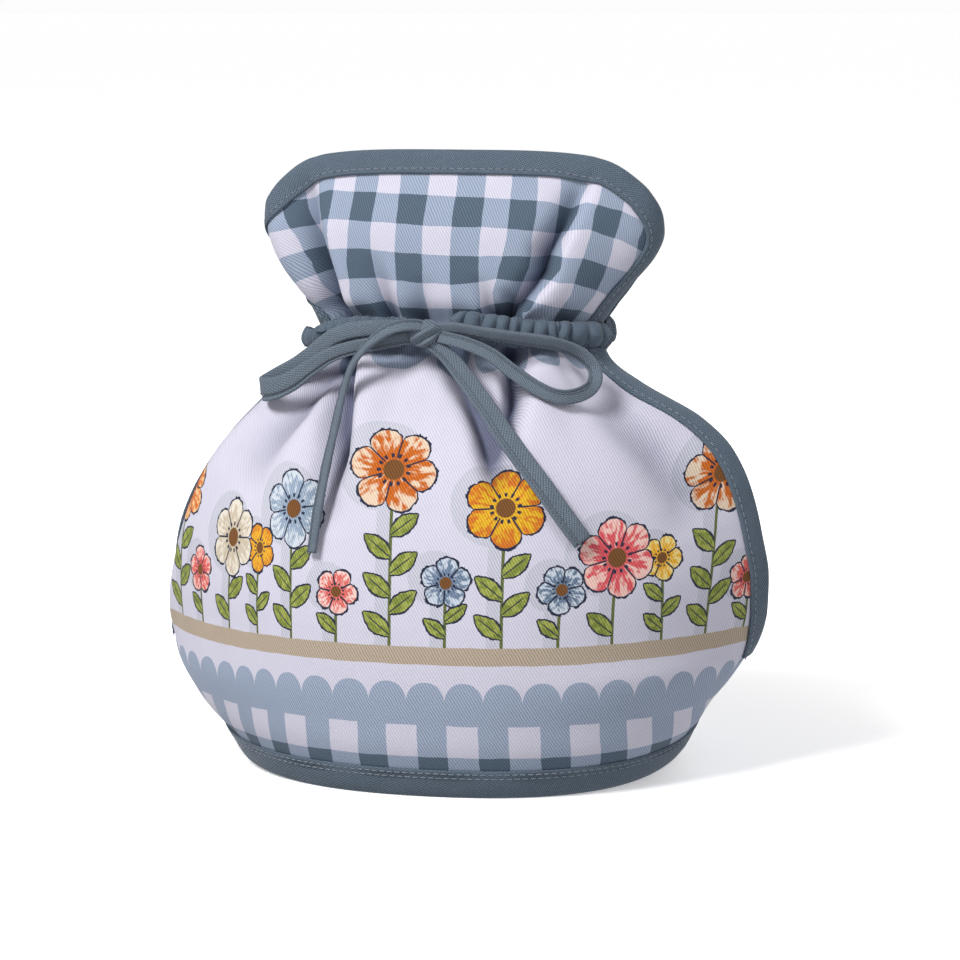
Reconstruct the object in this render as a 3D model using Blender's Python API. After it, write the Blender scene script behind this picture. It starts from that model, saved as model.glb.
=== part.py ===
# A muff-style tea cosy: two printed cotton panels with bound edges, a bound hem, a gathered casing
# round the waist and a flat tie in a bow.
# Lengths below are millimetres. -Y is the front, +X the right side seen from there, +Z up, and the cosy
# rests on its hem at Z = 0.
import math

import bmesh
import bpy
import numpy as np

MM = 0.001

# Cloth
CLOTH = 1.2
SEAM_GAP = 0.6
BINDING_GAP = 0.8
BINDING_WALL = 0.75
BINDING_WIDTH = 8.0
BINDING_FOLD = 1.2
HEM_DEPTH = 9.3
HEM_FLOOR = 1.0
HEM_SPARE = 0.2
PANEL_FOOT = 1.8

# Heights up the cosy
SEAM_TOP = 36.0
BINDING_FOOT = 38.6
WAIST = 138.6
WAIST_SAG_LEFT = 3.0
WAIST_SAG_RIGHT = 1.4
CORNER_HEIGHT = 192.2
TOP_HEIGHT = 194.0

# Plan sections. left and right are the reach in X, front the reach in Y at the middle, parting how far
# the panel's edge stays from the side plane, bend how flat the middle is, and the two curls how
# sharply the edges turn back: 1 is a lens, 0.5 an oval.
SECTION_COLUMNS = ("height", "left", "right", "front", "parting", "bend", "curl_left", "curl_right")
SECTIONS = (
    (0.0, 71.5, 70.5, 56.5, 0.3, 2.2, 0.50, 0.50),
    (9.5, 77.0, 74.5, 60.0, 0.3, 2.2, 0.50, 0.50),
    (22.0, 87.5, 80.5, 63.5, 0.3, 2.2, 0.50, 0.52),
    (36.0, 94.5, 89.5, 65.3, 0.3, 2.25, 0.55, 0.60),
    (44.0, 95.3, 93.7, 65.5, 3.5, 2.3, 0.62, 0.80),
    (52.0, 95.0, 96.2, 65.2, 8.0, 2.35, 0.68, 0.95),
    (64.0, 93.0, 97.0, 64.0, 12.0, 2.4, 0.70, 1.00),
    (77.0, 89.5, 95.0, 61.5, 14.0, 2.4, 0.70, 1.00),
    (91.0, 84.0, 91.5, 57.0, 14.0, 2.4, 0.70, 1.00),
    (103.0, 76.5, 85.5, 51.0, 13.0, 2.4, 0.70, 1.00),
    (112.0, 68.5, 75.5, 44.5, 11.5, 2.4, 0.70, 0.95),
    (122.0, 58.2, 56.8, 35.0, 9.0, 2.4, 0.65, 0.85),
    (130.0, 49.8, 46.6, 28.5, 7.0, 2.4, 0.60, 0.70),
    (138.0, 44.0, 42.2, 25.0, 5.5, 2.4, 0.55, 0.55),
    (146.0, 48.6, 45.8, 23.5, 5.5, 2.6, 0.50, 0.50),
    (152.0, 53.2, 50.4, 23.2, 5.5, 2.7, 0.50, 0.50),
    (158.0, 57.8, 56.0, 23.0, 5.5, 2.8, 0.50, 0.50),
    (164.0, 61.1, 60.3, 22.6, 5.5, 2.9, 0.50, 0.50),
    (170.0, 62.9, 62.5, 22.0, 5.5, 3.0, 0.50, 0.50),
    (182.0, 63.5, 63.5, 18.5, 5.5, 3.0, 0.50, 0.50),
    (196.0, 63.5, 63.5, 14.0, 5.5, 3.0, 0.50, 0.50),
)

# The rounded top corners of the frill: how far the finished edge reaches in X at each height.
CORNER_COLUMNS = ("height", "reach")
CORNERS = (
    (168.0, 63.0),
    (175.0, 62.3),
    (182.0, 59.0),
    (187.0, 53.6),
    (190.5, 47.8),
    (CORNER_HEIGHT, 42.3),
)

# How far the back panel is drawn in at its edges, and how far its frill drops.
DRAW_IN_COLUMNS = ("height", "draw_in", "drop")
DRAW_IN = (
    (0.0, 0.0, 0.0),
    (38.0, 0.0, 0.0),
    (52.0, 3.2, 0.0),
    (66.0, 5.4, 0.0),
    (90.0, 7.5, 0.0),
    (112.0, 9.0, 0.0),
    (124.0, 7.5, 0.0),
    (132.0, 4.0, 0.0),
    (138.0, 1.2, 0.0),
    (148.0, 0.0, 0.0),
    (156.0, 1.2, 0.2),
    (170.0, 4.2, 1.0),
    (196.0, 4.6, 2.2),
)

# How far the hem lifts off the table at its two side tips, and the height by which the lift is gone.
LIFT_LEFT = 6.0
LIFT_RIGHT = 10.0
LIFT_POWER = 4.0
LIFT_FADE = 30.0

# Main creases as soft troughs (negative) or ridges, each from one point to another of the panel.
FOLD_COLUMNS = ("x0", "z0", "x1", "z1", "depth0", "depth1", "width")
FRONT_FOLDS = (
    (-33.0, 136.0, -36.0, 98.0, -3.4, -0.6, 5.0),
    (-24.0, 134.0, -22.0, 104.0, 2.0, 0.3, 6.0),
    (14.0, 136.0, 5.0, 96.0, -3.6, -0.5, 5.0),
    (24.0, 134.0, 26.0, 104.0, 1.8, 0.4, 7.0),
    (-49.0, 120.0, -64.0, 97.0, -1.8, -0.3, 6.0),
    (42.0, 122.0, 69.0, 82.0, -2.0, -0.5, 8.0),
    (-45.0, 186.0, -37.0, 141.0, -1.4, -3.4, 4.5),
    (43.0, 185.0, 16.0, 141.0, -1.6, -3.6, 4.5),
    (50.0, 176.0, 26.0, 141.0, 0.8, 2.0, 5.0),
    (-16.0, 152.0, -16.0, 141.0, -0.2, -1.6, 3.5),
    (6.0, 152.0, 6.0, 141.0, -0.2, -1.5, 3.5),
)
BACK_FOLDS = (
    (30.0, 136.0, 34.0, 96.0, -3.2, -0.5, 5.0),
    (8.0, 135.0, 10.0, 100.0, -3.0, -0.4, 5.0),
    (-20.0, 136.0, -26.0, 98.0, -3.4, -0.5, 5.0),
    (-6.0, 134.0, -8.0, 104.0, 1.8, 0.3, 6.0),
    (-46.0, 122.0, -62.0, 92.0, -1.8, -0.4, 7.0),
    (38.0, 184.0, 30.0, 141.0, -1.2, -3.2, 4.5),
    (-34.0, 185.0, -24.0, 141.0, -1.4, -3.4, 4.5),
    (4.0, 154.0, 2.0, 141.0, -0.2, -1.8, 4.0),
)
FOLD_CLEAR_OF_EDGE = 15.5

# Casing and the tie that it holds
CASING_HALF = 4.5
CASING_WALL = 0.8
CASING_INNER = 4.2
CASING_LIP = 2.8
CASING_OVERHANG = 2.2
CASING_RUFFLE = 0.55
CASING_RUFFLES = 8
CASING_SLOT_X = -6.2
CASING_SLOT = 9.0
CASING_SLOT_REACH = 25.0
BAND_INNER = 2.9
BAND_THICK = 0.9
BAND_HALF = 2.2
TIE_THICK = 1.2
KNOT_SIZE = (11.0, 6.0, 7.4)
KNOT_AT = (-6.2, -32.8, 139.3)
KNOT_TILT = math.radians(24.0)

# The tie's four strands from the knot: across, height and distance forward of the side plane, the
# width, and the twist about its own run in degrees. A loop faces forward and a tail lies on the cloth.
STRAND_COLUMNS = ("x", "z", "forward", "width", "twist")
LOOPS = {
    "left_loop": (
        (-8.0, 140.6, 31.6, 4.2, 4.0),
        (-14.6, 141.0, 31.6, 4.4, 4.0),
        (-22.6, 140.5, 31.0, 4.8, 6.0),
        (-30.9, 139.4, 29.6, 5.0, 8.0),
        (-37.4, 136.7, 27.5, 5.0, 8.0),
        (-43.4, 132.0, 25.2, 5.2, 6.0),
        (-49.3, 127.3, 23.6, 6.0, 3.0),
        (-55.2, 123.4, 23.4, 7.0, 0.0),
        (-59.0, 120.8, 23.8, 7.6, 0.0),
        (-59.9, 120.3, 26.0, 7.8, 0.0),
        (-57.9, 120.4, 29.2, 7.6, 0.0),
        (-54.2, 121.2, 31.0, 7.0, 0.0),
        (-48.9, 123.6, 31.8, 6.2, 2.0),
        (-42.9, 127.8, 32.8, 5.2, 4.0),
        (-36.3, 132.0, 33.6, 4.7, 6.0),
        (-29.2, 134.5, 34.3, 4.5, 8.0),
        (-20.9, 136.2, 34.6, 4.4, 8.0),
        (-13.5, 137.7, 34.0, 4.3, 6.0),
        (-8.0, 138.6, 33.0, 4.2, 4.0),
    ),
    "right_loop": (
        (-4.0, 140.6, 33.0, 3.8, 20.0),
        (2.0, 141.2, 33.6, 4.0, 26.0),
        (10.4, 140.0, 33.6, 4.2, 30.0),
        (19.0, 138.8, 33.0, 4.4, 30.0),
        (32.0, 136.8, 29.6, 4.6, 28.0),
        (40.0, 133.4, 25.4, 4.6, 22.0),
        (44.8, 128.6, 25.0, 4.6, 14.0),
        (45.0, 124.0, 28.4, 4.6, 6.0),
        (41.6, 121.6, 33.6, 4.6, 6.0),
        (36.0, 121.2, 37.0, 4.6, 14.0),
        (29.5, 123.6, 37.6, 4.6, 22.0),
        (21.4, 128.6, 36.6, 4.6, 26.0),
        (14.5, 133.6, 36.2, 4.4, 26.0),
        (6.5, 136.8, 35.6, 4.2, 20.0),
        (-2.0, 138.6, 33.8, 3.8, 12.0),
    ),
}
LOOP_ACROSS = {"left_loop": (-0.12, 0.0, 0.99)}
TAILS = {
    "left_tail": (
        (-5.0, 141.2, 34.0, 3.6, 10.0),
        (-10.0, 142.2, 36.0, 3.8, 18.0),
        (-16.3, 141.0, 37.4, 4.0, 26.0),
        (-22.7, 136.6, 38.6, 4.0, 30.0),
        (-27.3, 131.0, 39.4, 3.8, 32.0),
        (-29.8, 125.0, 39.6, 3.8, 34.0),
        (-31.2, 118.6, 41.8, 3.8, 34.0),
        (-32.0, 111.5, 45.8, 3.8, 32.0),
        (-32.9, 104.0, 50.2, 3.8, 28.0),
        (-34.0, 94.0, 55.2, 3.8, 24.0),
        (-35.0, 84.4, 58.8, 3.8, 20.0),
        (-35.8, 75.0, 61.4, 3.2, 16.0),
    ),
    "right_tail": (
        (-4.6, 136.8, 33.6, 4.4, 0.0),
        (1.0, 132.4, 34.4, 5.2, 0.0),
        (7.6, 125.4, 37.2, 6.0, 0.0),
        (15.0, 117.4, 42.6, 6.2, 0.0),
        (22.8, 108.4, 48.6, 6.4, 0.0),
        (32.9, 97.2, 53.8, 6.4, 0.0),
        (40.8, 87.2, 55.8, 6.4, 0.0),
        (46.3, 80.0, 55.8, 6.2, 0.0),
    ),
}
STRAND_STEP = 5.0

# Mesh sizes
HALF_COLUMNS = 10
SECTION_SAMPLES = 160
BINDING_STEP = 9.2
WAIST_STEP = 3.6
WAIST_REACH = 9.0
CASING_COLUMNS = 30
PROBE = 0.02

PRINT_COLOUR = (0.80, 0.79, 0.86)
BINDING_COLOUR = (0.135, 0.185, 0.235)


def smooth_column(table, columns, name, height):
    """The named column at a height, on a curve through the rows that never overshoots them."""
    at = np.array([row[0] for row in table])
    value = np.array([row[columns.index(name)] for row in table])
    slope = np.diff(value) / np.diff(at)
    tangent = np.zeros(len(at))
    same = slope[:-1] * slope[1:] > 0
    tangent[1:-1][same] = 2 * slope[:-1][same] * slope[1:][same] / (slope[:-1] + slope[1:])[same]
    tangent[0] = slope[0]
    tangent[-1] = slope[-1]
    height = min(max(height, at[0]), at[-1])
    i = min(int(np.searchsorted(at, height, side="right")) - 1, len(at) - 2)
    span = at[i + 1] - at[i]
    t = (height - at[i]) / span
    return float(
        (2 * t**3 - 3 * t**2 + 1) * value[i]
        + (t**3 - 2 * t**2 + t) * span * tangent[i]
        + (3 * t**2 - 2 * t**3) * value[i + 1]
        + (t**3 - t**2) * span * tangent[i + 1]
    )


def smooth_step(value, low, high):
    t = min(max((value - low) / (high - low), 0.0), 1.0)
    return t * t * (3 - 2 * t)


class Panel:
    """The middle surface of one panel: a point for every share of the half section and height."""

    def __init__(self, facing, folds):
        self.facing = facing  # -1 is the front, 1 the back
        self.folds = folds
        self.halves = {}

    def set_back(self, name, height):
        """How far the back panel sits inside the front one; nothing on the front itself."""
        return smooth_column(DRAW_IN, DRAW_IN_COLUMNS, name, height) if self.facing > 0 else 0.0

    def half(self, right, height):
        """Half a plan section from its middle to its edge: length along it, x and y."""
        key = (right, round(height, 4))
        if key not in self.halves:
            reach = smooth_column(SECTIONS, SECTION_COLUMNS, "right" if right else "left", height)
            reach -= self.set_back("draw_in", height)
            front = smooth_column(SECTIONS, SECTION_COLUMNS, "front", height)
            parting = smooth_column(SECTIONS, SECTION_COLUMNS, "parting", height)
            bend = smooth_column(SECTIONS, SECTION_COLUMNS, "bend", height)
            side = "curl_right" if right else "curl_left"
            curl = smooth_column(SECTIONS, SECTION_COLUMNS, side, height)
            share = np.sin(np.linspace(0.0, math.pi / 2, SECTION_SAMPLES))
            x = share * reach * (1 if right else -1)
            y = self.facing * (parting + (front - parting) * (1 - share**bend) ** curl)
            length = np.concatenate([[0.0], np.cumsum(np.hypot(np.diff(x), np.diff(y)))])
            self.halves[key] = (length, x, y)
        return self.halves[key]

    def share_at(self, reach, height):
        """The share of the half section whose x is reach."""
        length, x, _ = self.half(reach > 0, height)
        return float(np.interp(abs(reach), np.abs(x), length) / length[-1]) * (1 if reach > 0 else -1)

    def length(self, right, height):
        return float(self.half(right, height)[0][-1])

    def smooth_point(self, share, height):
        length, x, y = self.half(share >= 0, height)
        along = min(abs(share), 1.0) * length[-1]
        px = float(np.interp(along, length, x))
        py = float(np.interp(along, length, y))
        angle = abs(share) * (1 - smooth_step(height, 0.0, LIFT_FADE))
        lift = (LIFT_RIGHT if share > 0 else LIFT_LEFT) * angle * abs(share) ** (LIFT_POWER - 1)
        return np.array([px, py, height + lift - self.set_back("drop", height)])

    def smooth_normal(self, share, height):
        low, high = max(share - PROBE, -1.0), min(share + PROBE, 1.0)
        across = self.smooth_point(high, height) - self.smooth_point(low, height)
        up = self.smooth_point(share, height + 0.4) - self.smooth_point(share, max(height - 0.4, 0.0))
        normal = np.cross(across, up) * -self.facing
        return normal / np.linalg.norm(normal)

    def fold_depth(self, share, height):
        point = self.smooth_point(share, height)
        edge = (1 - abs(share)) * self.length(share >= 0, height)
        edge = min(edge, TOP_HEIGHT - height)
        depth = 0.0
        for x0, z0, x1, z1, depth0, depth1, width in self.folds:
            run = np.array([x1 - x0, z1 - z0])
            at = np.array([point[0] - x0, height - z0])
            t = min(max(float(at @ run) / float(run @ run), 0.0), 1.0)
            away = float(np.linalg.norm(at - t * run))
            depth += (depth0 + (depth1 - depth0) * t) * math.exp(-((away / width) ** 2))
        if depth > 0:
            depth *= smooth_step(abs(height - WAIST), CASING_HALF, 2.5 * CASING_HALF)
        return depth * smooth_step(edge, BINDING_WIDTH, FOLD_CLEAR_OF_EDGE)

    def point(self, share, height):
        normal = self.smooth_normal(share, height)
        return self.smooth_point(share, height) + normal * self.fold_depth(share, height)

    def normal(self, share, height):
        low, high = max(share - PROBE, -1.0), min(share + PROBE, 1.0)
        across = self.point(high, height) - self.point(low, height)
        up = self.point(share, height + 0.4) - self.point(share, max(height - 0.4, 0.0))
        normal = np.cross(across, up) * -self.facing
        return normal / np.linalg.norm(normal)

    def edge_share(self, right, height):
        """The share where the finished edge runs: the whole section, less the frill's rounded corner."""
        if height <= CORNERS[0][0]:
            return 1.0 if right else -1.0
        reach = smooth_column(CORNERS, CORNER_COLUMNS, "reach", height) - self.set_back("draw_in", height)
        return self.share_at(reach if right else -reach, height)

    def outline(self):
        """(share, height) along the finished edge from the right seam over the top to the left seam."""
        heights = np.concatenate([
            np.linspace(BINDING_FOOT, CORNERS[0][0], 60),
            np.linspace(CORNERS[0][0], CORNER_HEIGHT, 40)[1:],
        ])
        right = [(self.edge_share(True, h), h) for h in heights]
        left = [(self.edge_share(False, h), h) for h in heights]
        corner_right, corner_left = right[-1][0], left[-1][0]
        top = []
        for share in np.linspace(corner_right, corner_left, 40)[1:-1]:
            along = share / (corner_right if share > 0 else -corner_left)
            top.append((share, TOP_HEIGHT - (TOP_HEIGHT - CORNER_HEIGHT) * along**4))
        path = np.array(right + top + left[::-1])
        points = np.array([self.point(*at) for at in path])
        near_waist = np.abs(path[1:, 1] - WAIST) < WAIST_REACH
        steps = np.linalg.norm(np.diff(points, axis=0), axis=1)
        steps = steps / np.where(near_waist, WAIST_STEP, BINDING_STEP)
        run = np.concatenate([[0.0], np.cumsum(steps)])
        even = np.linspace(0.0, run[-1], int(round(run[-1])) + 1)
        return np.stack([np.interp(even, run, path[:, 0]), np.interp(even, run, path[:, 1])], 1)

    def inward(self, path, distance):
        """The path moved inwards along the cloth by distance, square to its own run."""
        moved = np.array(path, dtype=float)
        steps = max(2, int(math.ceil(distance / 1.5)))
        points = np.array([self.point(*at) for at in path])
        run = np.gradient(points, axis=0)
        for _ in range(steps):
            for k, (share, height) in enumerate(moved):
                low, high = max(share - PROBE, -1.0), min(share + PROBE, 1.0)
                by_share = (self.point(high, height) - self.point(low, height)) / (high - low)
                by_height = (self.point(share, height + 0.4) - self.point(share, height - 0.4)) / 0.8
                normal = self.normal(share, height)
                way = np.cross(normal, run[k]) * -self.facing
                way /= np.linalg.norm(way)
                grid = np.stack([by_share, by_height], 1)
                moved[k] += np.linalg.lstsq(grid, way, rcond=None)[0] * distance / steps
        return moved


def add_object(name, vertices, faces, material):
    mesh = bpy.data.meshes.new(name)
    mesh.from_pydata([tuple(np.asarray(v) * MM) for v in vertices], [], faces)
    work = bmesh.new()
    work.from_mesh(mesh)
    bmesh.ops.recalc_face_normals(work, faces=work.faces)
    work.to_mesh(mesh)
    work.free()
    mesh.shade_smooth()
    mesh.set_sharp_from_angle(angle=math.radians(50))
    mesh.materials.append(material)
    made = bpy.data.objects.new(name, mesh)
    bpy.context.scene.collection.objects.link(made)
    return made


def cloth_material(name, colour):
    material = bpy.data.materials.new(name)
    material.use_nodes = True
    shader = material.node_tree.nodes["Principled BSDF"]
    shader.inputs["Base Color"].default_value = (*colour, 1.0)
    shader.inputs["Roughness"].default_value = 0.85
    shader.inputs["Metallic"].default_value = 0.0
    return material


def shell(rows, thickness):
    """A closed sheet from a grid of (point, normal)."""
    wide = len(rows[0])
    vertices = [p + n * thickness / 2 for row in rows for p, n in row]
    vertices += [p - n * thickness / 2 for row in rows for p, n in row]
    below = len(rows) * wide
    faces = []
    for i in range(len(rows) - 1):
        for j in range(wide - 1):
            a, b, c, d = i * wide + j, i * wide + j + 1, (i + 1) * wide + j + 1, (i + 1) * wide + j
            faces.append((a, b, c, d))
            faces.append((a + below, d + below, c + below, b + below))
    rim = [j for j in range(wide)]
    rim += [i * wide + wide - 1 for i in range(1, len(rows))]
    rim += [(len(rows) - 1) * wide + j for j in range(wide - 2, -1, -1)]
    rim += [i * wide for i in range(len(rows) - 2, 0, -1)]
    for k, a in enumerate(rim):
        b = rim[(k + 1) % len(rim)]
        faces.append((a, a + below, b + below, b))
    return vertices, faces


def swept(profiles, closed):
    """A closed solid through a list of profiles, each a ring of the same number of points."""
    around = len(profiles[0])
    vertices = [p for profile in profiles for p in profile]
    faces = []
    for k in range(len(profiles) if closed else len(profiles) - 1):
        after = (k + 1) % len(profiles)
        for j in range(around):
            near = (j + 1) % around
            faces.append((k * around + j, k * around + near, after * around + near, after * around + j))
    if not closed:
        faces.append(tuple(range(around)))
        last = (len(profiles) - 1) * around
        faces.append(tuple(last + j for j in range(around - 1, -1, -1)))
    return vertices, faces


def panel_rows(panel, foot):
    """Grid of the panel inside its bindings: heights up to the top edge, finer towards the edges."""
    inset = BINDING_FOLD + SEAM_GAP
    inner = panel.inward(panel.outline(), inset)
    peak = len(inner) // 2
    right, left = inner[:peak], inner[:peak - 1:-1]
    corner = CORNER_HEIGHT - inset
    heights = [foot, HEM_DEPTH + 1.0, 22.0, SEAM_TOP, SEAM_TOP + 1.0, 43.0, 51.0]
    heights += [62.0, 74.0, 86.0, 97.0, 107.0, 115.0, 121.5, 127.0, 131.6, 135.3, WAIST, 142.2, 147.5]
    heights += [154.5, 162.5, 170.0, 176.5, 183.0, corner - 1.8]
    rows = []
    for height in heights:
        if height <= SEAM_TOP:
            edge_right, edge_left = 1.0, -1.0
        else:
            edge_right = float(np.interp(height, *rising(right)))
            edge_left = float(np.interp(height, *rising(left)))
        rows.append(row_of(panel, edge_left, edge_right, lambda share, h=height: h))
    top_right = float(np.interp(corner, *rising(right)))
    top_left = float(np.interp(corner, *rising(left)))
    order = np.argsort(inner[:, 0])
    middle = inner[order]
    middle = middle[middle[:, 1] > CORNERS[2][0]]

    def top_height(share):
        return float(np.interp(share, middle[:, 0], middle[:, 1]))

    rows.append(row_of(panel, top_left, top_right, top_height))
    return rows


def rising(side):
    """Heights and shares of one side of a path, only where it still climbs."""
    heights, shares = [side[0][1]], [side[0][0]]
    for share, height in side[1:]:
        if height > heights[-1] + 1e-6:
            heights.append(height)
            shares.append(share)
    return heights, shares


def spread(j, count):
    """Shares of a half section that come closer together towards the edge."""
    v = abs(j) / count
    return math.copysign(0.5 * v + 0.5 * math.sin(v * math.pi / 2), j)


def row_of(panel, low, high, height_at):
    row = []
    for j in range(-HALF_COLUMNS, HALF_COLUMNS + 1):
        share = spread(j, HALF_COLUMNS) * (high if j > 0 else -low)
        height = height_at(share)
        row.append((panel.point(share, height), panel.normal(share, height)))
    return row


def make_panel(name, panel, material):
    vertices, faces = shell(panel_rows(panel, PANEL_FOOT), CLOTH)
    return add_object(name, vertices, faces, material)


def make_binding(name, panel, material):
    """A folded strip over the panel's edge: two walls joined along the outside."""
    path = panel.outline()
    channel = CLOTH / 2 + BINDING_GAP
    outside = channel + BINDING_WALL
    rings = {}
    for width in (0.0, BINDING_FOLD, BINDING_WIDTH / 2, BINDING_WIDTH):
        at = panel.inward(path, width) if width > 0 else path
        rings[width] = [(panel.point(*a), panel.normal(*a)) for a in at]
    order = [(BINDING_WIDTH, outside), (BINDING_WIDTH, channel), (BINDING_WIDTH / 2, channel)]
    order += [(BINDING_FOLD, channel), (BINDING_FOLD, -channel), (BINDING_WIDTH / 2, -channel)]
    order += [(BINDING_WIDTH, -channel), (BINDING_WIDTH, -outside), (BINDING_WIDTH / 2, -outside)]
    order += [(0.0, -outside), (0.0, outside), (BINDING_WIDTH / 2, outside)]
    profiles = []
    for k in range(len(path)):
        profiles.append([rings[w][k][0] + rings[w][k][1] * off for w, off in order])
    vertices, faces = swept(profiles, False)
    return add_object(name, vertices, faces, material)


def make_hem(front, back, material):
    """The closed ring over the bottom edge of both panels, flat where it rests."""
    channel = CLOTH / 2 + BINDING_GAP + HEM_SPARE
    outside = channel + BINDING_WALL
    order = [(0.0, outside), (HEM_DEPTH, outside), (HEM_DEPTH, channel), (HEM_FLOOR, channel)]
    order += [(HEM_FLOOR, -channel), (HEM_DEPTH, -channel), (HEM_DEPTH, -outside), (0.0, -outside)]
    stations = [(front, spread(j, HALF_COLUMNS)) for j in range(-HALF_COLUMNS, HALF_COLUMNS + 1)]
    stations += [(back, -spread(j, HALF_COLUMNS)) for j in range(1 - HALF_COLUMNS, HALF_COLUMNS)]
    profiles = [[hem_point(panel, share, h, off) for h, off in order] for panel, share in stations]
    vertices, faces = swept(profiles, True)
    return add_object("hem_binding", vertices, faces, material)


def hem_point(panel, share, height, off):
    point = panel.smooth_point(share, height)
    normal = panel.smooth_normal(share, height)
    flat = np.array([normal[0], normal[1], 0.0])
    flat /= np.linalg.norm(flat)
    return point + flat * off / max(math.hypot(normal[0], normal[1]), 0.6)


def waist_at(panel, share, height, off):
    """A point off the panel at the waist, which sags a little to its sides; past the panel's edge it
    runs on straight."""
    inside = min(max(share, -1.0), 1.0)
    height -= (WAIST_SAG_RIGHT if share > 0 else WAIST_SAG_LEFT) * inside**4
    point = panel.smooth_point(inside, height)
    normal = panel.smooth_normal(inside, height)
    if share != inside:
        back = panel.smooth_point(inside * 0.96, height)
        way = (point - back) / np.linalg.norm(point - back)
        point = point + way * (abs(share) - 1.0) * panel.length(share > 0, WAIST)
    return point + normal * off


def make_casing(name, panel, low, high, material):
    """A gathered strip round the waist, its long edges lying on the bindings, bulged between them."""
    shares = [spread(j, CASING_COLUMNS / 2) for j in np.arange(-CASING_COLUMNS / 2, CASING_COLUMNS / 2 + 1)]
    shares = [low] + [share for share in shares if low + 0.02 < share < high - 0.02] + [high]
    profiles = []
    for share in shares:
        turn = 2 * math.pi * CASING_RUFFLES * (share + 1) / 2
        ruffle = CASING_RUFFLE * (0.7 + 0.3 * math.sin(turn * 0.37)) * math.cos(turn)
        bulge = CASING_INNER + CASING_RUFFLE + ruffle
        order = [(-CASING_HALF, CASING_LIP), (-CASING_HALF * 0.45, bulge)]
        order += [(CASING_HALF * 0.45, bulge), (CASING_HALF, CASING_LIP)]
        inner = [waist_at(panel, share, WAIST + dz, off) for dz, off in order]
        outer = [waist_at(panel, share, WAIST + dz, off + CASING_WALL) for dz, off in reversed(order)]
        profiles.append(inner + outer)
    vertices, faces = swept(profiles, False)
    return add_object(name, vertices, faces, material)


def band_profiles(front, back):
    """The part of the tie that runs round the waist inside the casing."""
    count = HALF_COLUMNS + 2
    profiles = []
    for panel, way in ((front, 1), (back, -1)):
        for j in range(-count, count + 1):
            share = way * spread(j, count)
            corners = ((-BAND_HALF, BAND_INNER), (BAND_HALF, BAND_INNER))
            profile = [waist_at(panel, share, WAIST + dz, off) for dz, off in corners]
            profile += [waist_at(panel, share, WAIST + dz, off + BAND_THICK) for dz, off in corners[::-1]]
            profiles.append(profile)
    return profiles


def strand_route(rows):
    """A smooth run through the strand's rows: points, widths and twists at an even step."""
    points, widths, twists = [], [], []
    for x, z, forward, width, twist in rows:
        points.append((x, -forward, z))
        widths.append(width)
        twists.append(math.radians(twist))
    points = np.array(points)
    dense, dense_width, dense_twist = [], [], []
    for i in range(len(points) - 1):
        before, after = points[max(i - 1, 0)], points[min(i + 2, len(points) - 1)]
        for t in np.linspace(0.0, 1.0, 12, endpoint=False):
            dense.append(0.5 * (
                2 * points[i]
                + (points[i + 1] - before) * t
                + (2 * before - 5 * points[i] + 4 * points[i + 1] - after) * t**2
                + (3 * points[i] - before - 3 * points[i + 1] + after) * t**3
            ))
            dense_width.append(widths[i] + (widths[i + 1] - widths[i]) * t)
            dense_twist.append(twists[i] + (twists[i + 1] - twists[i]) * t)
    dense.append(points[-1])
    dense_width.append(widths[-1])
    dense_twist.append(twists[-1])
    dense = np.array(dense)
    run = np.concatenate([[0.0], np.cumsum(np.linalg.norm(np.diff(dense, axis=0), axis=1))])
    even = np.linspace(0.0, run[-1], int(round(run[-1] / STRAND_STEP)) + 1)
    route = np.stack([np.interp(even, run, dense[:, k]) for k in range(3)], 1)
    return route, np.interp(even, run, dense_width), np.interp(even, run, dense_twist)


def make_strand(name, panel, rows, lying, material):
    """A flat ribbon along its route. A lying one keeps its face on the cloth beneath it, and a loop
    that turns towards the viewer keeps its width along one line."""
    route, widths, twists = strand_route(rows)
    profiles = []
    tangents = np.gradient(route, axis=0)
    for k, point in enumerate(route):
        tangent = tangents[k] / np.linalg.norm(tangents[k])
        outward = np.array([0.0, -1.0, 0.0])
        if lying:
            outward = panel.smooth_normal(panel.share_at(point[0], point[2]), point[2])
        across = np.cross(outward, tangent)
        if name in LOOP_ACROSS:
            line = np.array(LOOP_ACROSS[name])
            across = line - tangent * float(line @ tangent)
        across /= np.linalg.norm(across)
        face = np.cross(tangent, across)
        turned = across * math.cos(twists[k]) + face * math.sin(twists[k])
        thick = np.cross(tangent, turned)
        corners = ((-1, -1), (1, -1), (1, 1), (-1, 1))
        half, deep = widths[k] / 2, TIE_THICK / 2
        profiles.append([point + turned * half * a + thick * deep * b for a, b in corners])
    vertices, faces = swept(profiles, False)
    return helper(add_object(name, vertices, faces, material))


def helper(made):
    made.hide_render = True
    made.display_type = "WIRE"
    return made


def make_knot(material):
    mesh = bpy.data.meshes.new("knot_form")
    work = bmesh.new()
    bmesh.ops.create_icosphere(work, subdivisions=2, radius=0.5)
    work.to_mesh(mesh)
    work.free()
    points = np.array([vertex.co[:] for vertex in mesh.vertices]) * np.array(KNOT_SIZE)
    turn = np.array([
        [math.cos(KNOT_TILT), 0.0, -math.sin(KNOT_TILT)],
        [0.0, 1.0, 0.0],
        [math.sin(KNOT_TILT), 0.0, math.cos(KNOT_TILT)],
    ])
    faces = [tuple(face.vertices) for face in mesh.polygons]
    bpy.data.meshes.remove(mesh)
    return helper(add_object("knot", points @ turn.T + np.array(KNOT_AT), faces, material))


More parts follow.
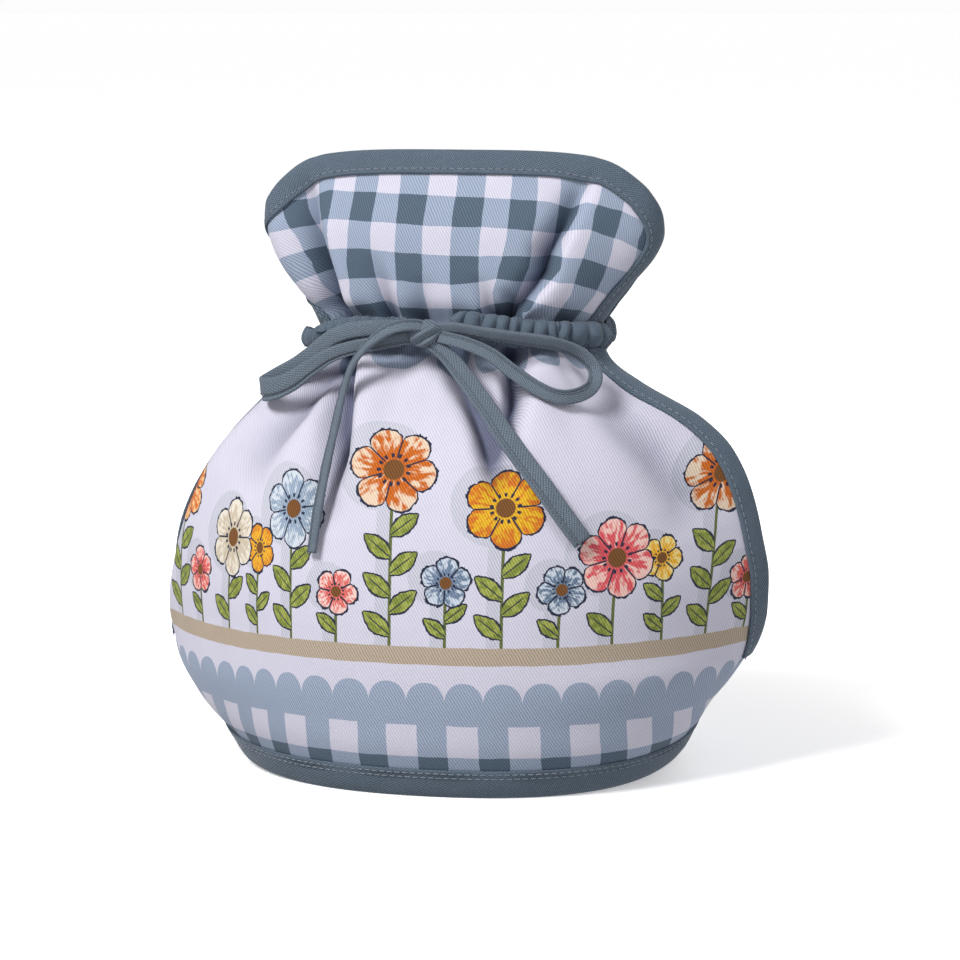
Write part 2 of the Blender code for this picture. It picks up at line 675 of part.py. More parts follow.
def make_neck(panel, material):
    """Where the tie comes forward out of the casing into the knot."""
    profiles = []
    for off in (BAND_INNER + 0.3, -KNOT_AT[1] - CASING_SLOT_REACH):
        ring = []
        for dx, dz in ((-1.8, -1.7), (1.8, -1.7), (1.8, 1.7), (-1.8, 1.7)):
            ring.append(off_waist(panel, CASING_SLOT_X + dx, WAIST + dz, off))
        profiles.append(ring)
    vertices, faces = swept(profiles, False)
    return helper(add_object("neck", vertices, faces, material))


def off_waist(panel, x, z, off):
    share = panel.share_at(x, z)
    return panel.smooth_point(share, z) + panel.smooth_normal(share, z) * off


def make_tie(front, back, material):
    vertices, faces = swept(band_profiles(front, back), True)
    tie = add_object("tie", vertices, faces, material)
    pieces = [make_neck(front, material), make_knot(material)]
    pieces += [make_strand(name, front, rows, False, material) for name, rows in LOOPS.items()]
    pieces += [make_strand(name, front, rows, True, material) for name, rows in TAILS.items()]
    for piece in pieces:
        joined = tie.modifiers.new(piece.name, "BOOLEAN")
        joined.operation = "UNION"
        joined.solver = "EXACT"
        joined.use_self = True
        joined.object = piece
    return tie


def clear_scene():
    for old in list(bpy.data.objects):
        bpy.data.objects.remove(old, do_unlink=True)


def main():
    clear_scene()
    printed = cloth_material("printed_cotton", PRINT_COLOUR)
    plain = cloth_material("plain_cotton", BINDING_COLOUR)
    front = Panel(-1, FRONT_FOLDS)
    back = Panel(1, BACK_FOLDS)
    make_panel("front_panel", front, printed)
    make_panel("back_panel", back, printed)
    make_binding("front_binding", front, plain)
    make_binding("back_binding", back, plain)
    make_hem(front, back, plain)
    over = CASING_OVERHANG / front.length(True, WAIST)
    slot = [front.share_at(CASING_SLOT_X + side * CASING_SLOT / 2, WAIST) for side in (-1, 1)]
    make_casing("front_casing_left", front, -1 - over, slot[0], plain)
    make_casing("front_casing_right", front, slot[1], 1 + over, plain)
    make_casing("back_casing", back, -1 - over, 1 + over, plain)
    make_tie(front, back, plain)


main()
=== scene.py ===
import math

import bmesh
import bpy
import numpy as np
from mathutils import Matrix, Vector


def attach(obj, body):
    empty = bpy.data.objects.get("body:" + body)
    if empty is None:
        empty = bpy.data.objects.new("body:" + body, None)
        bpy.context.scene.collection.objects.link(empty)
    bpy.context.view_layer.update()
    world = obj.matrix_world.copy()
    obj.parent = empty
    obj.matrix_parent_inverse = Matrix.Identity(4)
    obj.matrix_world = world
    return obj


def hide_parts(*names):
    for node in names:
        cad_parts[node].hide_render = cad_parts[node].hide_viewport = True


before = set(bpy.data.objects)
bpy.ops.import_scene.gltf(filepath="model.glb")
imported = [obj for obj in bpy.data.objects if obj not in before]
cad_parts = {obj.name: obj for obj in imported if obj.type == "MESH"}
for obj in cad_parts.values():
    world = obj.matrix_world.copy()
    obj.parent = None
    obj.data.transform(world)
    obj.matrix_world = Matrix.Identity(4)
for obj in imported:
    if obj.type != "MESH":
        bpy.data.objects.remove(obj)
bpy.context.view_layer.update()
mm = 0.001
scene = bpy.context.scene
print("tea cosy: packed model loaded")

# The camera stands in front and a little to the right, just above the frill's height.
cameraLook = {
    "azimuth": 11.0, "distance": 1.0, "height": 0.24, "lookAt": (0.0044, 0.0, 0.0893), "lens": 119.06,
    "sensor": 36.0,
}


def placeObject(name, data):
    thing = bpy.data.objects.new(name, data)
    scene.collection.objects.link(thing)
    return thing


def makeCamera(look):
    data = bpy.data.cameras.new("photoCamera")
    data.lens = look["lens"]
    data.sensor_width = look["sensor"]
    camera = placeObject("photoCamera", data)
    turn = math.radians(look["azimuth"])
    camera.location = (math.sin(turn) * look["distance"], -math.cos(turn) * look["distance"], look["height"])
    towards = Vector(look["lookAt"]) - camera.location
    camera.rotation_euler = towards.to_track_quat("-Z", "Y").to_euler()
    scene.camera = camera


makeCamera(cameraLook)

# Draped shape, in millimetres, as the model has it. Each plan section: height, reach left, reach right,
# reach forward, distance of the edge from the side plane, flatness of the middle, curl left and right.
cosyShape = {
    "sections": (
        (0.0, 71.5, 70.5, 56.5, 0.3, 2.2, 0.50, 0.50),
        (9.5, 77.0, 74.5, 60.0, 0.3, 2.2, 0.50, 0.50),
        (22.0, 87.5, 80.5, 63.5, 0.3, 2.2, 0.50, 0.52),
        (36.0, 94.5, 89.5, 65.3, 0.3, 2.25, 0.55, 0.60),
        (44.0, 95.3, 93.7, 65.5, 3.5, 2.3, 0.62, 0.80),
        (52.0, 95.0, 96.2, 65.2, 8.0, 2.35, 0.68, 0.95),
        (64.0, 93.0, 97.0, 64.0, 12.0, 2.4, 0.70, 1.00),
        (77.0, 89.5, 95.0, 61.5, 14.0, 2.4, 0.70, 1.00),
        (91.0, 84.0, 91.5, 57.0, 14.0, 2.4, 0.70, 1.00),
        (103.0, 76.5, 85.5, 51.0, 13.0, 2.4, 0.70, 1.00),
        (112.0, 68.5, 75.5, 44.5, 11.5, 2.4, 0.70, 0.95),
        (122.0, 58.2, 56.2, 35.0, 9.0, 2.4, 0.65, 0.85),
        (130.0, 49.8, 45.6, 28.5, 7.0, 2.4, 0.60, 0.70),
        (138.0, 44.0, 42.2, 25.0, 5.5, 2.4, 0.55, 0.55),
        (146.0, 48.6, 45.8, 23.5, 5.5, 2.6, 0.50, 0.50),
        (152.0, 53.2, 50.4, 23.2, 5.5, 2.7, 0.50, 0.50),
        (158.0, 57.8, 56.0, 23.0, 5.5, 2.8, 0.50, 0.50),
        (164.0, 61.1, 60.3, 22.6, 5.5, 2.9, 0.50, 0.50),
        (170.0, 62.9, 62.5, 22.0, 5.5, 3.0, 0.50, 0.50),
        (182.0, 63.5, 63.5, 18.5, 5.5, 3.0, 0.50, 0.50),
        (196.0, 63.5, 63.5, 14.0, 5.5, 3.0, 0.50, 0.50),
    ),
    # height and how far the rounded top corner reaches
    "corners": (
        (160.0, 64.4), (168.0, 63.2), (175.0, 62.4), (182.0, 59.0), (187.0, 53.6), (190.5, 47.8),
        (192.2, 42.3),
    ),
    # height, how far the back is drawn in at its edges, how far it drops
    "drawIn": (
        (0.0, 0.0, 0.0), (38.0, 0.0, 0.0), (52.0, 3.2, 0.0), (66.0, 5.4, 0.0), (90.0, 7.5, 0.0),
        (112.0, 9.0, 0.0), (124.0, 7.5, 0.0), (132.0, 4.0, 0.0), (138.0, 1.2, 0.0), (148.0, 0.0, 0.0),
        (156.0, 1.2, 0.2), (170.0, 4.2, 1.0), (196.0, 4.6, 2.2),
    ),
    "liftLeft": 6.0,
    "liftRight": 10.0,
    "liftFade": 30.0,
    "seamTop": 36.0,
    "bindingFoot": 38.6,
    "waist": 138.6,
    "waistSagLeft": 3.0,
    "waistSagRight": 1.4,
    "cornerHeight": 192.2,
    "topHeight": 194.0,
    "clothHalf": 0.5,
}

# Creases: points along each one, as across, height, depth (minus is a trough), width to its left and right.
frontCreases = (
    ((-39.0, 132.0, -2.4, 5.0, 4.0), (-42.0, 125.0, -4.4, 5.2, 4.0), (-46.5, 115.0, -5.0, 5.6, 4.5),
     (-52.8, 107.0, -4.2, 6.5, 5.0), (-58.2, 99.0, -2.6, 8.0, 6.0), (-62.0, 89.0, -0.3, 8.0, 8.0)),
    ((-38.5, 124.0, 1.2, 5.0, 4.0), (-43.0, 113.0, 2.2, 5.0, 5.0), (-48.0, 103.0, 1.6, 6.0, 7.0),
     (-52.0, 92.0, 0.2, 8.0, 8.0)),
    ((-32.4, 134.0, -6.2, 6.0, 2.2), (-31.8, 126.0, -7.2, 7.6, 2.0), (-29.8, 113.0, -7.0, 8.6, 2.0),
     (-29.0, 104.0, -5.8, 8.6, 2.2), (-32.0, 93.0, -3.6, 8.0, 3.2), (-34.0, 80.0, -0.3, 8.0, 7.0)),
    ((-27.6, 132.0, 2.2, 2.0, 6.0), (-27.2, 122.0, 3.0, 2.0, 8.0), (-24.6, 110.0, 2.6, 2.2, 9.0),
     (-24.6, 98.0, 0.6, 4.0, 9.0)),
    ((-2.0, 133.0, -3.0, 3.4, 4.4), (1.0, 128.8, -4.8, 3.2, 5.4), (6.0, 123.4, -6.6, 3.0, 5.6),
     (9.8, 118.0, -7.6, 2.8, 5.8), (12.9, 112.4, -8.0, 2.6, 6.0), (15.0, 107.0, -7.6, 2.6, 6.4),
     (17.4, 101.4, -5.6, 2.8, 7.0), (20.8, 95.5, -2.4, 4.0, 7.4), (24.0, 89.0, 0.0, 6.0, 6.0)),
    ((18.8, 134.0, -7.0, 3.0, 3.6), (19.4, 128.0, -8.2, 2.6, 3.4), (20.9, 122.0, -8.2, 2.4, 3.6),
     (20.6, 116.0, -6.0, 2.6, 4.0), (20.0, 110.0, -3.0, 3.0, 4.6), (19.4, 104.0, -0.2, 4.0, 4.0)),
    ((27.0, 132.0, 2.4, 3.0, 6.0), (28.5, 121.0, 3.0, 3.4, 9.0), (27.0, 109.0, 1.6, 5.0, 10.0),
     (26.0, 99.0, 0.3, 7.0, 10.0)),
    ((43.0, 123.0, -1.2, 5.0, 6.0), (52.3, 115.0, -3.4, 5.0, 6.5), (64.5, 104.0, -3.8, 5.5, 7.0),
     (74.1, 91.0, -2.8, 6.0, 8.0), (78.3, 79.0, -0.2, 8.0, 8.0)),
    ((-47.0, 187.0, -1.2, 3.8, 2.2), (-45.4, 178.0, -3.2, 5.0, 2.0), (-44.2, 170.0, -4.6, 5.6, 1.8),
     (-41.4, 161.0, -5.8, 6.2, 1.8), (-38.6, 154.0, -6.8, 6.4, 1.8), (-37.6, 148.0, -7.0, 6.4, 1.8),
     (-36.0, 141.0, -6.4, 6.0, 2.0)),
    ((-41.0, 184.0, 0.4, 2.0, 5.0), (-39.8, 172.0, 1.6, 1.8, 6.0), (-36.2, 160.0, 2.4, 1.8, 6.0),
     (-32.8, 149.0, 2.8, 1.8, 5.0), (-31.2, 142.0, 2.2, 1.8, 5.0)),
    ((39.4, 187.0, -1.8, 3.8, 2.0), (37.0, 178.0, -4.2, 4.4, 2.0), (33.4, 170.0, -6.4, 4.8, 1.9),
     (30.0, 163.0, -7.4, 5.0, 1.9), (28.6, 156.6, -7.4, 5.0, 1.9), (24.8, 151.6, -6.8, 4.6, 1.9),
     (20.8, 146.8, -6.2, 4.2, 1.9), (17.0, 141.0, -5.6, 4.0, 2.0)),
    ((44.2, 184.0, 0.6, 2.0, 6.0), (41.0, 175.0, 1.8, 1.9, 7.0), (35.8, 164.0, 2.8, 1.9, 8.0),
     (33.4, 156.0, 2.8, 1.9, 8.0), (26.0, 147.6, 2.4, 1.9, 7.0), (22.0, 142.0, 1.6, 1.9, 6.0)),
    ((42.0, 187.4, -2.0, 1.2, 1.2), (41.0, 182.0, -1.4, 1.4, 1.4), (39.6, 178.0, -0.1, 1.6, 1.6)),
    ((-25.2, 163.0, -0.1, 3.4, 3.0), (-21.9, 153.0, -2.4, 3.4, 2.6), (-19.5, 143.0, -3.8, 3.4, 2.6)),
    ((-9.0, 157.0, -0.1, 3.4, 3.4), (-9.4, 149.0, -1.8, 3.4, 3.0), (-9.0, 141.0, -3.2, 3.4, 3.0)),
    ((6.6, 157.0, -0.1, 3.0, 3.0), (10.8, 148.6, -2.4, 3.0, 2.6), (13.4, 142.0, -3.6, 2.6, 2.6)),
    ((14.6, 153.6, -0.1, 2.4, 2.4), (17.2, 149.6, -1.6, 2.4, 2.0), (18.6, 143.0, -2.0, 2.0, 2.0)),
    ((33.0, 150.0, -0.4, 3.0, 3.0), (33.6, 140.0, -2.6, 3.2, 3.2)),
)
backCreases = (
    ((30.0, 141.0, -3.2, 5.0, 5.0), (33.0, 122.0, -2.6, 6.0, 5.0), (36.0, 92.0, -0.4, 8.0, 6.0)),
    ((8.0, 141.0, -3.0, 4.5, 4.5), (9.0, 122.0, -2.4, 5.0, 5.0), (11.0, 96.0, -0.4, 8.0, 7.0)),
    ((19.0, 141.0, 1.6, 5.0, 5.0), (20.0, 120.0, 1.6, 6.0, 6.0), (22.0, 100.0, 0.3, 8.0, 8.0)),
    ((-20.0, 141.0, -3.4, 4.5, 5.0), (-23.0, 120.0, -2.6, 5.0, 6.0), (-27.0, 92.0, -0.4, 8.0, 8.0)),
    ((-8.0, 139.0, 1.6, 5.0, 5.0), (-8.0, 118.0, 1.6, 6.0, 6.0), (-9.0, 98.0, 0.3, 8.0, 8.0)),
    ((-42.0, 130.0, -1.4, 5.0, 5.0), (-62.0, 92.0, -0.4, 8.0, 8.0)),
    ((42.0, 130.0, -1.4, 5.0, 5.0), (60.0, 96.0, -0.4, 8.0, 8.0)),
    ((38.0, 184.0, -1.0, 4.0, 4.0), (34.0, 160.0, -3.0, 3.4, 5.0), (29.0, 141.0, -3.6, 3.4, 4.0)),
    ((-34.0, 185.0, -1.2, 4.0, 4.0), (-29.0, 160.0, -3.0, 5.0, 3.4), (-24.0, 141.0, -3.6, 4.0, 3.4)),
    ((4.0, 158.0, -0.2, 4.0, 4.0), (2.0, 141.0, -2.2, 4.0, 4.0)),
    ((14.0, 156.0, -0.1, 3.4, 3.4), (15.0, 140.0, -2.0, 3.4, 3.4)),
    ((-9.0, 156.0, -0.1, 3.4, 3.4), (-10.0, 140.0, -2.0, 3.4, 3.4)),
)


def readColumn(table, place, at):  # smooth between the rows, never past them
    key = np.array([row[0] for row in table], float)
    value = np.array([row[place] for row in table], float)
    slope = np.diff(value) / np.diff(key)
    tangent = np.zeros(len(key))
    same = slope[:-1] * slope[1:] > 0
    tangent[1:-1][same] = 2 * slope[:-1][same] * slope[1:][same] / (slope[:-1] + slope[1:])[same]
    tangent[0], tangent[-1] = slope[0], slope[-1]
    at = np.clip(np.asarray(at, float), key[0], key[-1])
    i = np.clip(np.searchsorted(key, at, side="right") - 1, 0, len(key) - 2)
    span = key[i + 1] - key[i]
    t = (at - key[i]) / span
    return (
        (2 * t**3 - 3 * t**2 + 1) * value[i] + (t**3 - 2 * t**2 + t) * span * tangent[i]
        + (3 * t**2 - 2 * t**3) * value[i + 1] + (t**3 - t**2) * span * tangent[i + 1]
    )


def easeStep(value, low, high):
    t = np.clip((np.asarray(value, float) - low) / (high - low), 0.0, 1.0)
    return t * t * (3 - 2 * t)


def unit(vectors):
    return vectors / np.maximum(np.linalg.norm(vectors, axis=-1, keepdims=True), 1e-9)


def runAlong(points):  # how far each point lies along the line through them
    return np.concatenate([[0.0], np.cumsum(np.linalg.norm(np.diff(points, axis=0), axis=1))])


# The surface is sampled in rows this far apart, up to top, with so many columns on each side of its middle.
surfaceGrid = {"step": 0.5, "top": 196.0, "half": 400}


class PanelSurface:  # the middle of one panel's cloth; share runs -1..1 across it, height is in mm
    def __init__(self, facing, creases, shift):
        self.facing = facing  # -1 front, 1 back
        self.creases = creases
        self.shift = shift
        shape, half = cosyShape, surfaceGrid["half"]
        self.rows = np.arange(0.0, surfaceGrid["top"] + 0.01, surfaceGrid["step"])
        self.shares = np.linspace(-1.0, 1.0, 2 * half + 1)
        self.x = np.zeros((len(self.rows), len(self.shares)))
        self.y = np.zeros((len(self.rows), len(self.shares)))
        self.lengths = {-1: np.zeros(len(self.rows)), 1: np.zeros(len(self.rows))}
        bow = np.sin(np.linspace(0.0, math.pi / 2, 160))
        left, right, ahead, parting, flatness, curlLeft, curlRight = (
            readColumn(shape["sections"], k, self.rows) for k in range(1, 8))
        drawn = readColumn(shape["drawIn"], 1, self.rows) if facing > 0 else np.zeros(len(self.rows))
        for k in range(len(self.rows)):
            for side, reach, curl in ((-1, left, curlLeft), (1, right, curlRight)):
                x = bow * (reach[k] - drawn[k]) * side
                y = facing * (parting[k] + (ahead[k] - parting[k]) * (1 - bow ** flatness[k]) ** curl[k])
                run = np.concatenate([[0.0], np.cumsum(np.hypot(np.diff(x), np.diff(y)))])
                self.lengths[side][k] = run[-1]
                mine = self.shares >= 0 if side > 0 else self.shares <= 0
                along = np.abs(self.shares[mine]) * run[-1]
                self.x[k, mine] = np.interp(along, run, x)
                self.y[k, mine] = np.interp(along, run, y)
        self.climb = runAlong(np.stack([self.y[:, half], self.rows], 1))

    def length(self, share, height):
        right = np.interp(height, self.rows, self.lengths[1])
        left = np.interp(height, self.rows, self.lengths[-1])
        return np.where(np.asarray(share) >= 0, right, left)

    def smooth(self, share, height):
        share = np.clip(np.asarray(share, float), -1.0, 1.0)
        height = np.clip(np.asarray(height, float), 0.0, surfaceGrid["top"])
        a = np.clip(height / surfaceGrid["step"], 0, len(self.rows) - 1.000001)
        b = np.clip((share + 1) * surfaceGrid["half"], 0, len(self.shares) - 1.000001)
        i, j = a.astype(int), b.astype(int)
        s, t = a - i, b - j
        spot = []
        for grid in (self.x, self.y):
            low = grid[i, j] * (1 - t) + grid[i, j + 1] * t
            high = grid[i + 1, j] * (1 - t) + grid[i + 1, j + 1] * t
            spot.append(low * (1 - s) + high * s)
        lift = np.where(share > 0, cosyShape["liftRight"], cosyShape["liftLeft"]) * share**4
        lift = lift * (1 - easeStep(height, 0.0, cosyShape["liftFade"]))
        drop = readColumn(cosyShape["drawIn"], 2, height) if self.facing > 0 else 0.0
        return np.stack([spot[0], spot[1], height + lift - drop], -1)

    def normalOf(self, place, share, height):
        share, height = np.asarray(share, float), np.asarray(height, float)
        right, left = np.minimum(share + 0.006, 1.0), np.maximum(share - 0.006, -1.0)
        across = place(right, height) - place(left, height)
        up = place(share, height + 0.6) - place(share, np.maximum(height - 0.6, 0.0))
        return unit(np.cross(across, up) * -self.facing)

    def creaseDepth(self, share, height):
        share, height = np.asarray(share, float), np.asarray(height, float)
        x = self.smooth(share, height)[..., 0]
        depth = np.zeros(x.shape)
        for crease in self.creases:
            best = np.full(x.shape, 1e9)
            here = np.zeros(x.shape)
            wide = np.ones(x.shape)
            for (x0, z0, d0, l0, r0), (x1, z1, d1, l1, r1) in zip(crease, crease[1:]):
                runX, runZ = x1 - x0, z1 - z0
                t = np.clip(((x - x0) * runX + (height - z0) * runZ) / (runX**2 + runZ**2), 0, 1)
                offX, offZ = x - x0 - t * runX, height - z0 - t * runZ
                away = np.hypot(offX, offZ)
                near = away < best
                leftOf = runX * offZ - runZ * offX < 0  # creases run downwards, so this is the left
                width = np.where(leftOf, l0 + (l1 - l0) * t, r0 + (r1 - r0) * t)
                best = np.where(near, away, best)
                here = np.where(near, d0 + (d1 - d0) * t, here)
                wide = np.where(near, width, wide)
            depth = depth + here * np.exp(-((best / wide) ** 2))
        waist = np.abs(height - cosyShape["waist"])
        depth = np.where(depth > 0, depth * easeStep(waist, 4.0, 10.0), depth)
        return depth + self.gathers(share, height, waist)

    def gathers(self, share, height, waist):  # small even puckers close to the drawn-in waist
        along = share * 66.0 + self.shift
        strong = np.where(height > cosyShape["waist"], np.exp(-waist / 9.0), np.exp(-waist / 15.0))
        wave = 0.55 * np.cos(along / 9.3 * 2 * math.pi + 0.4)
        wave = wave + 0.4 * np.cos(along / 5.7 * 2 * math.pi + 1.7) * np.exp(-waist / 10.0)
        wave = wave + 0.45 * np.cos(along / 15.1 * 2 * math.pi + 2.2)
        calm = 0.35 * np.sin(along / 31.0 + height / 24.0) + 0.25 * np.sin(along / 17.0 - height / 15.0 + 2.0)
        lowPuff = 0.9 * np.exp(-(((height - 15.0) / 6.0) ** 2)) * (0.75 + 0.5 * easeStep(share, 0.2, 0.6))
        neck = -2.2 - 1.8 * np.exp(-((share / 0.4) ** 2))
        neck = neck * np.exp(-((np.maximum(waist - 3.0, 0.0) / 4.5) ** 2))
        return 0.8 * strong * wave + calm * easeStep(height, 4.0, 30.0) * 0.8 + lowPuff + neck

    def calmDepth(self, share, height):  # distance to the side edge, and the creases' depth, calm at edges
        side = (1 - np.abs(share)) * self.length(share, height)
        edge = np.minimum(side, cosyShape["topHeight"] - height)
        return side, self.creaseDepth(share, height) * easeStep(edge, 3.0, 15.0)

    def fold(self, share, height):  # how deep in a fold or under the casing at the waist; the material paints shade there by darkening the cloth's colour
        _, depth = self.calmDepth(share, height)
        return np.clip(-depth / 6.6, 0.0, 1.1) ** 1.4

    def point(self, share, height):
        share, height = np.asarray(share, float), np.asarray(height, float)
        side, depth = self.calmDepth(share, height)
        spot = self.smooth(share, height)
        if self.facing < 0:  # the left edge turns back out of sight, at the frill and over the shoulder
            high = easeStep(height, 141.0, 148.0) * (1 - easeStep(height, 168.0, 188.0))
            low = easeStep(height, 38.0, 50.0) * (1 - easeStep(height, 124.0, 136.0))
            low = low * (1 - 0.6 * np.exp(-(((height - 77.0) / 16.0) ** 2)))
            high, low = np.where(share < 0, high, 0.0), np.where(share < 0, low, 0.0)
            depth = depth + 1.3 * (high + low) * np.exp(-(((side - 11.0) / 6.0) ** 2))
            rolled = np.clip(1 - side / 13.0, 0, 1) ** 1.6
            tucked = np.clip(1 - side / 9.0, 0, 1) ** 1.2
            swell = np.exp(-(((side - 9.5) / 5.0) ** 2))
            spot = spot + (high * rolled)[..., None] * np.array([0.0, 7.6, 0.0])
            spot = spot + (high * (3.6 * tucked - 1.7 * swell))[..., None] * np.array([1.0, 0.0, 0.0])
            spot = spot + (low * rolled)[..., None] * np.array([4.4, 6.6, 0.0])
        return spot + self.normalOf(self.smooth, share, height) * depth[..., None]

    def normal(self, share, height):
        return self.normalOf(self.point, share, height)

    def shareAt(self, x, height):
        place = min(max(height / surfaceGrid["step"], 0.0), len(self.rows) - 1.001)
        k, t = int(place), place - int(place)
        return float(np.interp(x, self.x[k] * (1 - t) + self.x[k + 1] * t, self.shares))

    def edgeShare(self, side, height):
        if height <= cosyShape["corners"][0][0]:
            return float(side)
        reach = float(readColumn(cosyShape["corners"], 1, height))
        if self.facing > 0:
            reach -= float(readColumn(cosyShape["drawIn"], 1, height))
        elif side < 0:
            reach -= 1.2 * math.exp(-(((height - 181.0) / 6.0) ** 2))
        full = abs(float(np.interp(height, self.rows, self.x[:, -1 if side > 0 else 0])))
        # the rounded corner runs smoothly into the side
        reach = -0.4 * math.log(math.exp(-reach / 0.4) + math.exp(-full / 0.4))
        return self.shareAt(reach * side, height)

    def outline(self, step):  # (share, height) from the right seam over the top to the left seam
        shape = cosyShape
        heights = np.concatenate([
            np.linspace(shape["bindingFoot"], shape["corners"][0][0], 160),
            np.linspace(shape["corners"][0][0], shape["cornerHeight"], 90)[1:],
        ])
        right = [(self.edgeShare(1, h), h) for h in heights]
        left = [(self.edgeShare(-1, h), h) for h in heights]
        top = []
        for share in np.linspace(right[-1][0], left[-1][0], 90)[1:-1]:
            along = share / (right[-1][0] if share > 0 else -left[-1][0])
            top.append((share, shape["topHeight"] - (shape["topHeight"] - shape["cornerHeight"]) * along**4))
        path = np.array(right + top + left[::-1])
        spots = self.point(path[:, 0], path[:, 1])
        run = runAlong(spots)
        even = np.linspace(0.0, run[-1], int(round(run[-1] / step)) + 1)
        return np.stack([np.interp(even, run, path[:, 0]), np.interp(even, run, path[:, 1])], 1)

    def moveIn(self, path, distance):  # the path moved inwards over the cloth
        moved = path.copy()
        spots = self.point(path[:, 0], path[:, 1])
        run = np.gradient(spots, axis=0)
        steps = max(1, int(math.ceil(abs(distance))))
        for _ in range(steps):
            share, height = moved[:, 0], moved[:, 1]
            low, high = np.maximum(share - 0.006, -1.0), np.minimum(share + 0.006, 1.0)
            byShare = (self.point(high, height) - self.point(low, height)) / (high - low)[:, None]
            byHeight = self.point(share, height + 0.5) - self.point(share, height - 0.5)
            way = unit(np.cross(self.normal(share, height), run) * -self.facing)
            a, b = (byShare * byShare).sum(1), (byShare * byHeight).sum(1)
            d = (byHeight * byHeight).sum(1)
            p, q = (byShare * way).sum(1), (byHeight * way).sum(1)
            det = a * d - b * b
            moved[:, 0] += (p * d - q * b) / det * distance / steps
            moved[:, 1] += (a * q - b * p) / det * distance / steps
        return moved

    def hang(self, share):  # a whole number at each point between two hanging scallops
        if self.facing > 0:
            return share * 4.5
        return np.interp(share, scallopAcross, np.arange(len(scallopAcross)))

    def flat(self, share, height):  # where a spot lies on the flat printed cloth, in mm
        share, height = np.asarray(share, float), np.asarray(height, float)
        arc = self.length(share, np.minimum(height, 140.0))
        u = share * (arc**16 + 69.5**16) ** (1 / 16)
        v = np.interp(height, self.rows, self.climb)
        if self.facing < 0:
            frill = easeStep(height, 137.0, 141.0)
            u = u * (1 + 0.17 * easeStep(-u, 28.0, 76.0) * (1 - frill))
            u = u * (1 - frill) + frill * checkAcross(share, height)
            v = v * (1 - frill) + frill * checkUp(share, height)
        return u, v


# Where the front frill's checks run. Across: for each height the shares of the lines between columns, from
# the tenth left of the middle to the eighth right. Up: for each share the heights of five lines between rows.
frillAcross = (
    (145.0, (
        -1.03, -0.895, -0.722, -0.635, -0.63, -0.623, -0.56, -0.392, -0.305, -0.147,
        -0.002, 0.167, 0.255, 0.345, 0.4, 0.423, 0.627, 0.765, 0.9,
    )),
    (151.0, (
        -1.08, -0.945, -0.748, -0.607, -0.603, -0.595, -0.542, -0.4, -0.292, -0.157,
        -0.007, 0.147, 0.225, 0.353, 0.448, 0.48, 0.637, 0.778, 0.915,
    )),
    (159.0, (
        -1.01, -0.875, -0.73, -0.59, -0.583, -0.575, -0.508, -0.39, -0.275, -0.145,
        -0.01, 0.13, 0.232, 0.37, 0.448, 0.532, 0.607, 0.748, 0.88,
    )),
    (167.5, (
        -1.02, -0.89, -0.752, -0.617, -0.605, -0.575, -0.483, -0.38, -0.262, -0.14,
        -0.007, 0.125, 0.248, 0.357, 0.453, 0.5, 0.615, 0.728, 0.845,
    )),
    (176.0, (
        -1.01, -0.905, -0.81, -0.705, -0.625, -0.57, -0.473, -0.37, -0.255, -0.13,
        0.0, 0.135, 0.255, 0.377, 0.47, 0.568, 0.635, 0.76, 0.88,
    )),
    (184.0, (
        -1.0, -0.9, -0.812, -0.73, -0.647, -0.573, -0.468, -0.362, -0.255, -0.122,
        0.012, 0.143, 0.265, 0.385, 0.488, 0.61, 0.675, 0.785, 0.895,
    )),
)
frillUp = (
    (-0.9, 144.9, 152.0, 159.0, 167.6, 175.4), (-0.8, 146.7, 154.0, 161.4, 169.1, 177.9),
    (-0.72, 148.0, 155.2, 163.1, 170.5, 179.2), (-0.62, 149.2, 156.6, 164.4, 172.4, 180.9),
    (-0.585, 146.6, 154.9, 164.0, 172.8, 181.5), (-0.48, 147.2, 155.0, 164.0, 172.8, 181.2),
    (-0.39, 148.0, 155.2, 164.0, 172.4, 181.2), (-0.3, 146.4, 154.5, 163.4, 172.1, 180.9),
    (-0.15, 146.0, 154.0, 162.8, 171.6, 180.5), (0.0, 146.4, 153.6, 162.4, 171.2, 180.0),
    (0.13, 146.1, 154.4, 162.4, 171.2, 180.0), (0.235, 148.0, 155.6, 162.4, 170.9, 179.7),
    (0.31, 148.4, 155.2, 162.4, 170.6, 179.4), (0.36, 147.6, 154.7, 162.4, 170.4, 179.3),
    (0.45, 148.6, 154.0, 162.4, 170.4, 178.9), (0.52, 148.2, 155.2, 162.4, 170.0, 178.2),
    (0.61, 147.0, 155.2, 162.4, 170.8, 178.4), (0.75, 145.8, 152.9, 159.7, 167.8, 176.4),
    (0.88, 144.0, 150.2, 157.5, 164.3, 172.6),
)
# Shares of the points between the hanging scallops under the front's waist.
scallopAcross = (-1.0, -0.74, -0.48, -0.105, 0.135, 0.32, 0.485, 0.667, 0.86, 1.05)
# On the flat cloth: size of a check, and where the middle column's line and the lowest row's line lie.
checkSize = (9.05, 8.87)
checkStart = (0.3, 159.8)


def checkAcross(share, height):
    steps = (np.arange(len(frillAcross[0][1])) - 10) * checkSize[0] + checkStart[0]
    byRow = []
    for at, lines in frillAcross:
        inside = np.interp(share, lines, steps)
        past = np.minimum(share - lines[0], 0) + np.maximum(share - lines[-1], 0)
        byRow.append(inside + past * checkSize[0] / 0.13)
    heights = [row[0] for row in frillAcross]
    place = np.clip(np.interp(height, heights, np.arange(len(heights))), 0, len(heights) - 1.0001)
    low = place.astype(int)
    byRow = np.array(byRow)
    spot = np.arange(byRow[0].size).reshape(byRow[0].shape)
    flatRows = byRow.reshape(len(heights), -1)
    t = place - low
    return flatRows[low, spot] * (1 - t) + flatRows[low + 1, spot] * t


